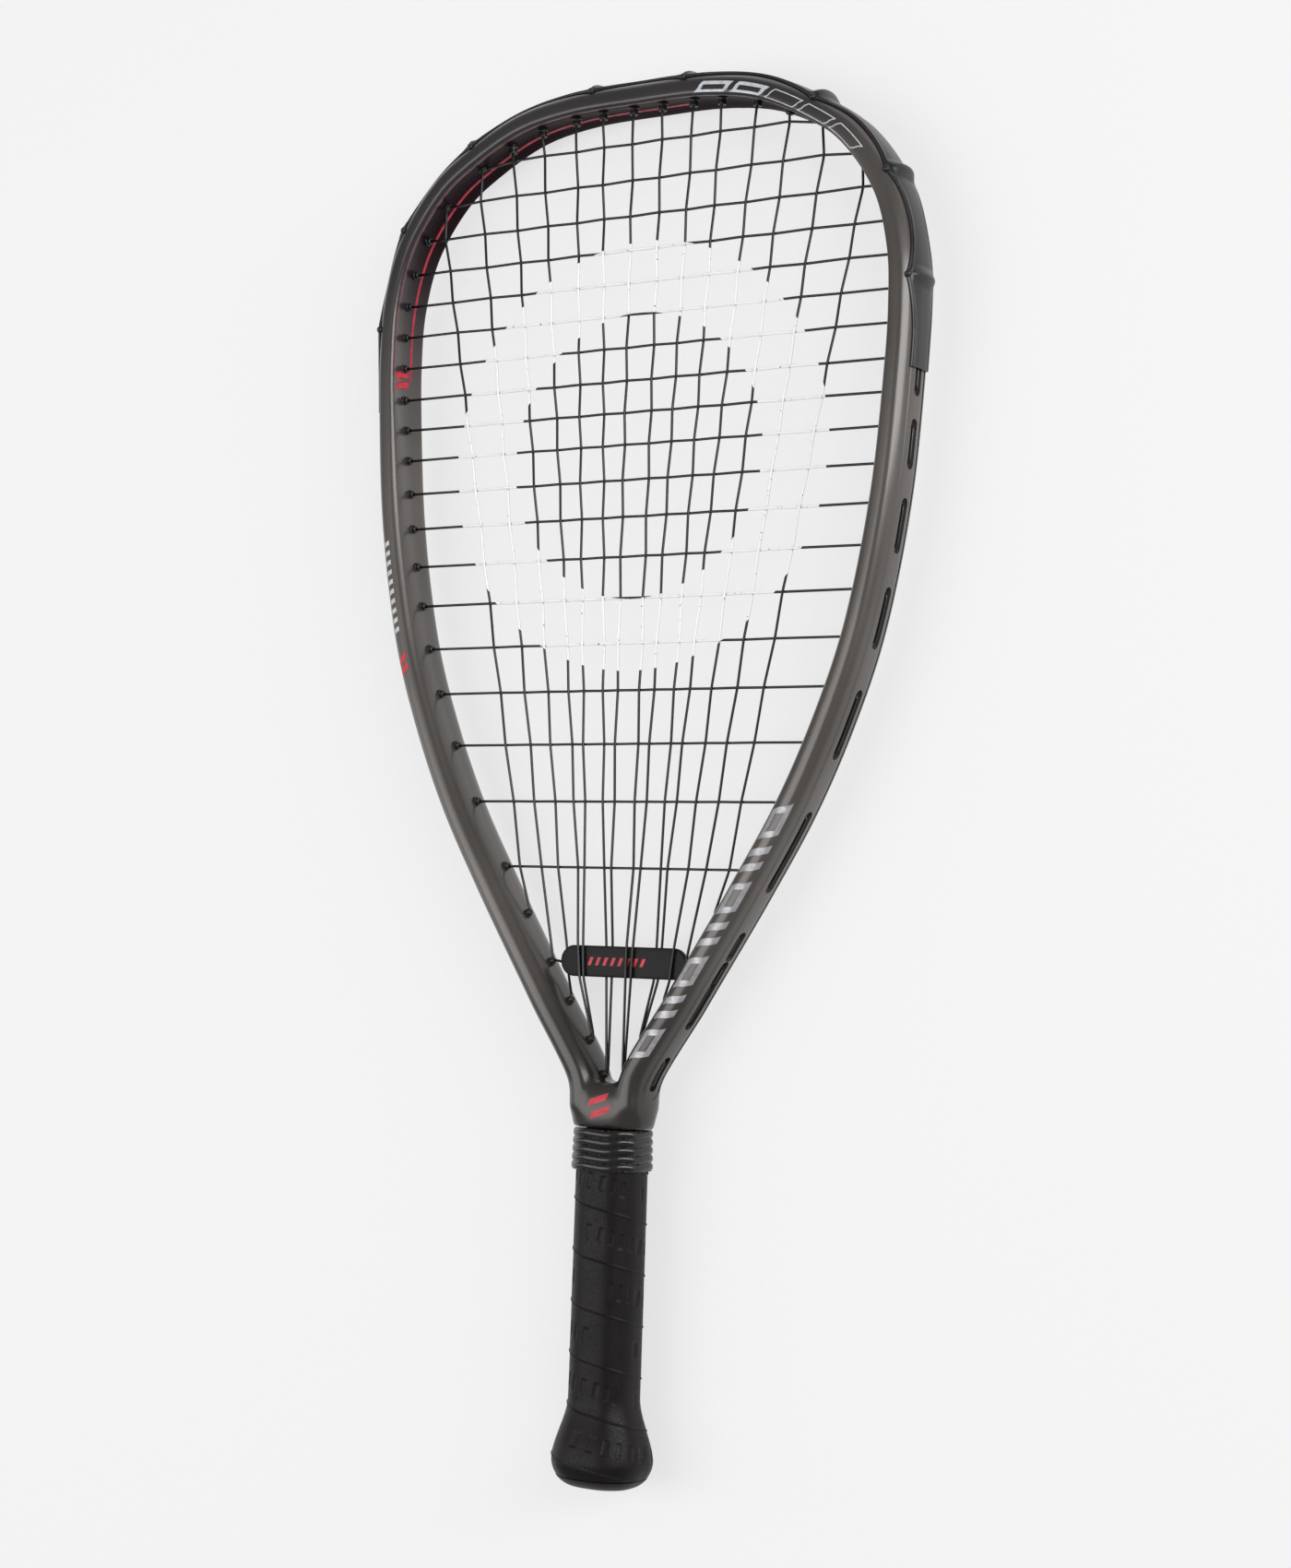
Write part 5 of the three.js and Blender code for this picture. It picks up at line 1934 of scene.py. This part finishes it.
@dataclass
class Markings:
    """Plain printed marks on the lacquer: pinstripes, slanted boxes and bars, ticks and small dashes."""

    hoop: Hoop
    plan: StringPlan
    frame_piece: Piece
    red: Material
    stripe: Material
    foil: Material
    pale: Material
    white: Material
    lift: float = 0.05
    arc: float = 0.17
    row_step: float = 1.5
    stripe_from: float = 446.0
    stripe_to: float = 0.52
    stripe_half: float = 2.2
    stripe_front: float = 7.4
    stripe_rear: float = 2.3
    arm_from: float = 269.0
    arm_pitch: float = 17.0
    arm_count: int = 7
    arm_box: Box = Box(13.5, 62.0, 114.0, 6.0, 2.8)
    arm_bar: float = 3.4
    arm_bars: tuple[float, ...] = (1.0, 8.0)
    top_from: float = 32.0
    top_pitch: float = 16.7
    top_row: tuple[Box, ...] = (
        (Box(14.0, 76.0, 106.0, -4.0, 1.8),) * 2 + (Box(14.0, 76.0, 106.0, -4.0, 0.55),) * 3)
    tick_heights: tuple[float, float] = (338.0, 374.0)
    ticks: int = 10
    tick: float = 1.9
    tick_span: tuple[float, float, float] = (68.0, 88.0, 0.8)
    dash: float = 2.8
    dash_places: tuple[float, ...] = (0.0, 4.4)
    wall_dash_shift: float = 3.2
    wall_dash_span: tuple[float, float, float] = (152.0, 184.0, 2.5)
    front_dash_height: float = 320.0
    front_dash_span: tuple[float, float, float] = (64.0, 92.0, 3.0)
    neck_dashes: tuple[tuple[float, float], ...] = ((-0.9, 151.0), (0.5, 146.2))
    neck_dash_half: tuple[float, float] = (4.2, 1.5)
    neck_dash_lean: tuple[float, float] = (0.3, 0.35)

    def patch(
        self, start: float, stop: float, low: float, high: float, slant: float = 0.0, columns: int = 6,
    ) -> Shape:
        """Gives a thin printed patch on the frame's skin.

        Args:
            start: Share of the hoop at one end.
            stop: Share at the other end.
            low: Direction on the section at one edge, in degrees, zero being outwards and 90 in front.
            high: Direction at the other edge.
            slant: How far the high edge is shifted along the hoop, in millimetres.
            columns: Points across.

        Returns:
            A closed thin shell.
        """
        section = self.hoop.section
        rows = max(int(abs(stop - start) * self.hoop.length / self.row_step), 2)
        across = np.linspace(0, 1, columns)
        angle = np.radians(low + (high - low) * across)
        rings = []
        for share in np.linspace(start, stop, rows):
            shares = share + slant * across / self.hoop.length
            blend = section.blend_at(self.hoop.height(shares))
            upper, lower = (self.hoop.at(shares, *section.at(angle, blend, extra).T)
                            for extra in (self.lift, -self.lift))
            rings.append(np.vstack([upper, lower[::-1]]))
        return loft(rings)

    def patches(
        self, start: float, places: Sequence[float], length: float, low: float, high: float, slant: float,
    ) -> list[Shape]:
        """Gives equal patches in a row.

        Args:
            start: Share of the hoop that the places are counted from.
            places: Where each patch starts, in millimetres.
            length: Length of each, in millimetres.
            low: Direction of one edge, in degrees.
            high: Direction of the other edge.
            slant: How far the high edge is shifted along the hoop, in millimetres.

        Returns:
            The patches.
        """
        size = self.hoop.length
        return [self.patch(start + x / size, start + (x + length) / size, low, high, slant) for x in places]

    def box(self, start: float, box: Box) -> list[Shape]:
        """Gives the four strokes of a slanted box.

        Args:
            start: Share of the hoop where the box starts.
            box: Its sizes.

        Returns:
            The strokes.
        """
        size, low, stroke = self.hoop.length, box.low, box.stroke
        turn = stroke / self.arc
        lean = box.slant / (box.high - low)
        strokes = self.patches(start, (0.0, box.length - stroke), stroke, low, box.high, box.slant)
        for edge in (low, box.high - turn):
            shift = lean * (edge - low)
            first, last = start + (shift + stroke) / size, start + (shift + box.length - stroke) / size
            strokes.append(self.patch(first, last, edge, edge + turn, lean * turn, 3))
        return strokes

    def pinstripes(self) -> list[Shape]:
        """Gives the two thin stripes on the left inner wall, either side of the grommets.

        Returns:
            The stripes.
        """
        start = self.hoop.share_at(self.stripe_from, -4.0)
        front = 180 - math.degrees(self.hoop.section.angle_for(self.stripe_front))
        rear = 180 + math.degrees(self.hoop.section.angle_for(self.stripe_rear))
        half = self.stripe_half
        return [self.patch(start, self.stripe_to, at - half, at + half, columns=3) for at in (front, rear)]

    def arm_boxes(self) -> list[Shape]:
        """Gives the row of slanted silver boxes and bars on the front of the right arm.

        Returns:
            Their strokes.
        """
        box, start = self.arm_box, 1 - self.hoop.share_at(self.arm_from, 0.0)
        shapes = []
        for place in range(self.arm_count):
            at = start + place * self.arm_pitch / self.hoop.length
            if place % 2:
                shapes += self.patches(at, self.arm_bars, self.arm_bar, box.low, box.high, box.slant)
            else:
                shapes += self.box(at, box)
        return shapes

    def top_boxes(self) -> list[Shape]:
        """Gives the slanted boxes on the front of the head, bold at first and then in thin outline.

        Returns:
            Their strokes.
        """
        shapes = []
        for place, box in enumerate(self.top_row):
            shapes += self.box(0.5 + (self.top_from + place * self.top_pitch) / self.hoop.length, box)
        return shapes

    def edge_ticks(self) -> list[Shape]:
        """Gives the row of small pale ticks on the outer front of the left side.

        Returns:
            The ticks.
        """
        start, stop = (self.hoop.share_at(height, 0.0) for height in self.tick_heights)
        width = self.tick / self.hoop.length
        return [self.patch(at, at + width, *self.tick_span, 4) for at in np.linspace(start, stop, self.ticks)]

    def red_dashes(self) -> list[Shape]:
        """Gives the pairs of slanted dashes on the neck, on the left inner wall and on the left front.

        Returns:
            The dashes.
        """
        wall = self.plan.crosses[7] + self.wall_dash_shift / self.hoop.length
        front = self.hoop.share_at(self.front_dash_height, 0.0)
        shapes = self.patches(wall, self.dash_places, self.dash, *self.wall_dash_span)
        shapes += self.patches(front, self.dash_places, self.dash, *self.front_dash_span)
        bpy.context.view_layer.update()
        half_length, half_width = self.neck_dash_half
        lean_x, lean_y = self.neck_dash_lean
        for x, y in self.neck_dashes:
            rings = []
            for along in np.linspace(-half_length, half_length, 15):
                upper = []
                for across in np.linspace(-half_width, half_width, 7):
                    spot = Vector((x + along + lean_x * across, y + across + lean_y * along, 40.0)) * MM
                    hit = self.frame_piece.ray_cast(spot, Vector((0.0, 0.0, -1.0)))[1]
                    upper.append(np.array(hit) / MM)
                skin, lift = np.array(upper), np.array([0.0, 0.0, self.lift])
                rings.append(np.vstack([skin + lift, skin[::-1] - 2 * lift]))
            shapes.append(loft(rings))
        return shapes

    def build(self) -> None:
        """Builds every mark, each kind as one piece."""
        for name, shapes, ink in (
            ("red_dashes", self.red_dashes(), self.red), ("pinstripes", self.pinstripes(), self.stripe),
            ("arm_boxes", self.arm_boxes(), self.foil), ("top_boxes", self.top_boxes(), self.pale),
            ("edge_ticks", self.edge_ticks(), self.white),
        ):
            dress(make_object(name, join(shapes)), ink)


@dataclass(frozen=True)
class Lamp:
    """A soft rectangular lamp: its place and size in metres, and its power in watts."""

    name: str
    place: tuple[float, float, float]
    size: tuple[float, float]
    power: float

    def build(self) -> None:
        """Builds the lamp, which looks at the racket's middle."""
        data = bpy.data.lights.new(self.name, "AREA")
        data.shape = "RECTANGLE"
        data.size, data.size_y = self.size
        data.energy = self.power
        made = bpy.data.objects.new(self.name, data)
        made.location = self.place
        aim = Vector((0.0, 0.3, 0.0)) - Vector(self.place)
        made.rotation_euler = aim.to_track_quat("-Z", "Y").to_euler()
        bpy.context.scene.collection.objects.link(made)


@dataclass
class Studio:
    """The floor, the lamps and the camera, whose values were solved from the string bed's crossings."""

    floor_height: float = -18.75
    floor_size: float = 6.0
    focal_pixels: float = 3135.0
    long_side: float = 1700.0
    sensor: float = 36.0
    yaw: float = -0.567157
    pitch: float = -0.0543025
    roll: float = -0.0340371
    shift: tuple[float, float] = (-17.41, -274.96)
    distance: float = 1132.72
    clip: tuple[float, float] = (0.05, 20.0)
    lamps: tuple[Lamp, ...] = (
        Lamp("key", (-0.7, 0.15, 1.6), (0.8, 1.6), 11.5),
        Lamp("side", (1.6, 0.75, 0.75), (0.6, 2.0), 25.0),
        Lamp("far_side", (-1.6, 0.1, 0.6), (0.5, 1.6), 3.0),
    )
    sky: str = "#ffffff"
    sky_strength: float = 0.36

    def camera(self) -> None:
        """Places the camera where the photograph was taken."""
        turn = (Matrix.Rotation(self.roll, 3, "Z") @ Matrix.Rotation(self.pitch, 3, "X")
                @ Matrix.Rotation(self.yaw, 3, "Y"))
        eye = turn.transposed() @ Vector((-self.shift[0], -self.shift[1], self.distance))
        data = bpy.data.cameras.new("camera")
        data.sensor_fit = "AUTO"
        data.sensor_width = self.sensor
        data.lens = self.focal_pixels / self.long_side * self.sensor
        data.clip_start, data.clip_end = self.clip
        made = bpy.data.objects.new("camera", data)
        made.matrix_world = Matrix.Translation(eye * MM) @ turn.transposed().to_4x4()
        bpy.context.scene.collection.objects.link(made)
        bpy.context.scene.camera = made

    def build(self) -> None:
        """Builds the stage."""
        self.camera()
        bpy.ops.mesh.primitive_plane_add(size=self.floor_size, location=(0.0, 0.25, self.floor_height * MM))
        floor = bpy.context.object
        floor.name = "studio_floor"
        floor.data.materials.append(StudioFloor().build())
        for lamp in self.lamps:
            lamp.build()
        world = bpy.data.worlds.new("studio")
        bpy.context.scene.world = world
        world.use_nodes = True
        back = world.node_tree.nodes["Background"]
        back.inputs["Color"].default_value = linear(self.sky)
        back.inputs["Strength"].default_value = self.sky_strength
        bpy.context.scene.view_settings.view_transform = "Standard"


def dress_pallets(finish: Material) -> None:
    """Gives the two hidden pallets their foam.

    Args:
        finish: The foam.
    """
    for name in ("pallet_front", "pallet_back"):
        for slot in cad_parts[name].material_slots:
            slot.material = finish


def main() -> None:
    """Builds the racket piece by piece."""
    logging.basicConfig(level=logging.INFO, format="%(message)s")
    Studio().build()
    hoop = Hoop()
    plan = StringPlan(hoop)
    graphite = SatinGraphite().build()
    guard = MouldedPlastic("moulded_guard", "#1a191c", "#28272b", roughness=0.3, specular=0.42).build()
    nylon = MouldedPlastic().build()
    # The strip's finish carries the same painted shade as the frame's graphite.
    strip = SatinGraphite("painted_strip", "#4d4946", "#5f5a57", roughness=0.36).build()
    gloss = MouldedPlastic("glossy_rubber", "#0b0a0b", "#151415", roughness=0.2, relief=0.02).build()
    rubber = MouldedPlastic("matt_rubber", "#110f0f", "#1b1717", roughness=0.46, specular=0.2).build()
    grip = TackyGripBand().build()
    foam = MouldedPlastic("structural_foam", "#8d8b84", "#a19f98", grain_size=0.9, roughness=0.8).build()
    red_ink = PrintedMark("red_ink", "#cf2238", "#ab1a2e", 0.0, 0.4).build()
    stripe_ink = PrintedMark("pinstripe_ink", "#c22a44", "#9c2036", 0.0, 0.4).build()
    foil = PrintedMark("silver_foil").build()
    pale_ink = PrintedMark("pale_ink", "#d2d6da", "#b4b8be", 0.1, 0.4).build()
    white_ink = PrintedMark("white_ink", "#d6d6d4", "#bdbdbb", 0.0, 0.45).build()
    frame_piece = FrameTube(hoop, graphite).build()
    HeadGuard(hoop, plan, guard).build()
    GrommetStrips(hoop, plan, strip, nylon).build()
    StringBed(plan, StencilledString().build(), rubber, red_ink).build()
    Handle(grip, gloss, rubber).build()
    Markings(hoop, plan, frame_piece, red_ink, stripe_ink, foil, pale_ink, white_ink).build()
    dress_pallets(foam)
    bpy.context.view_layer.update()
    log.info("sizes written")


if __name__ == "__main__":
    main()
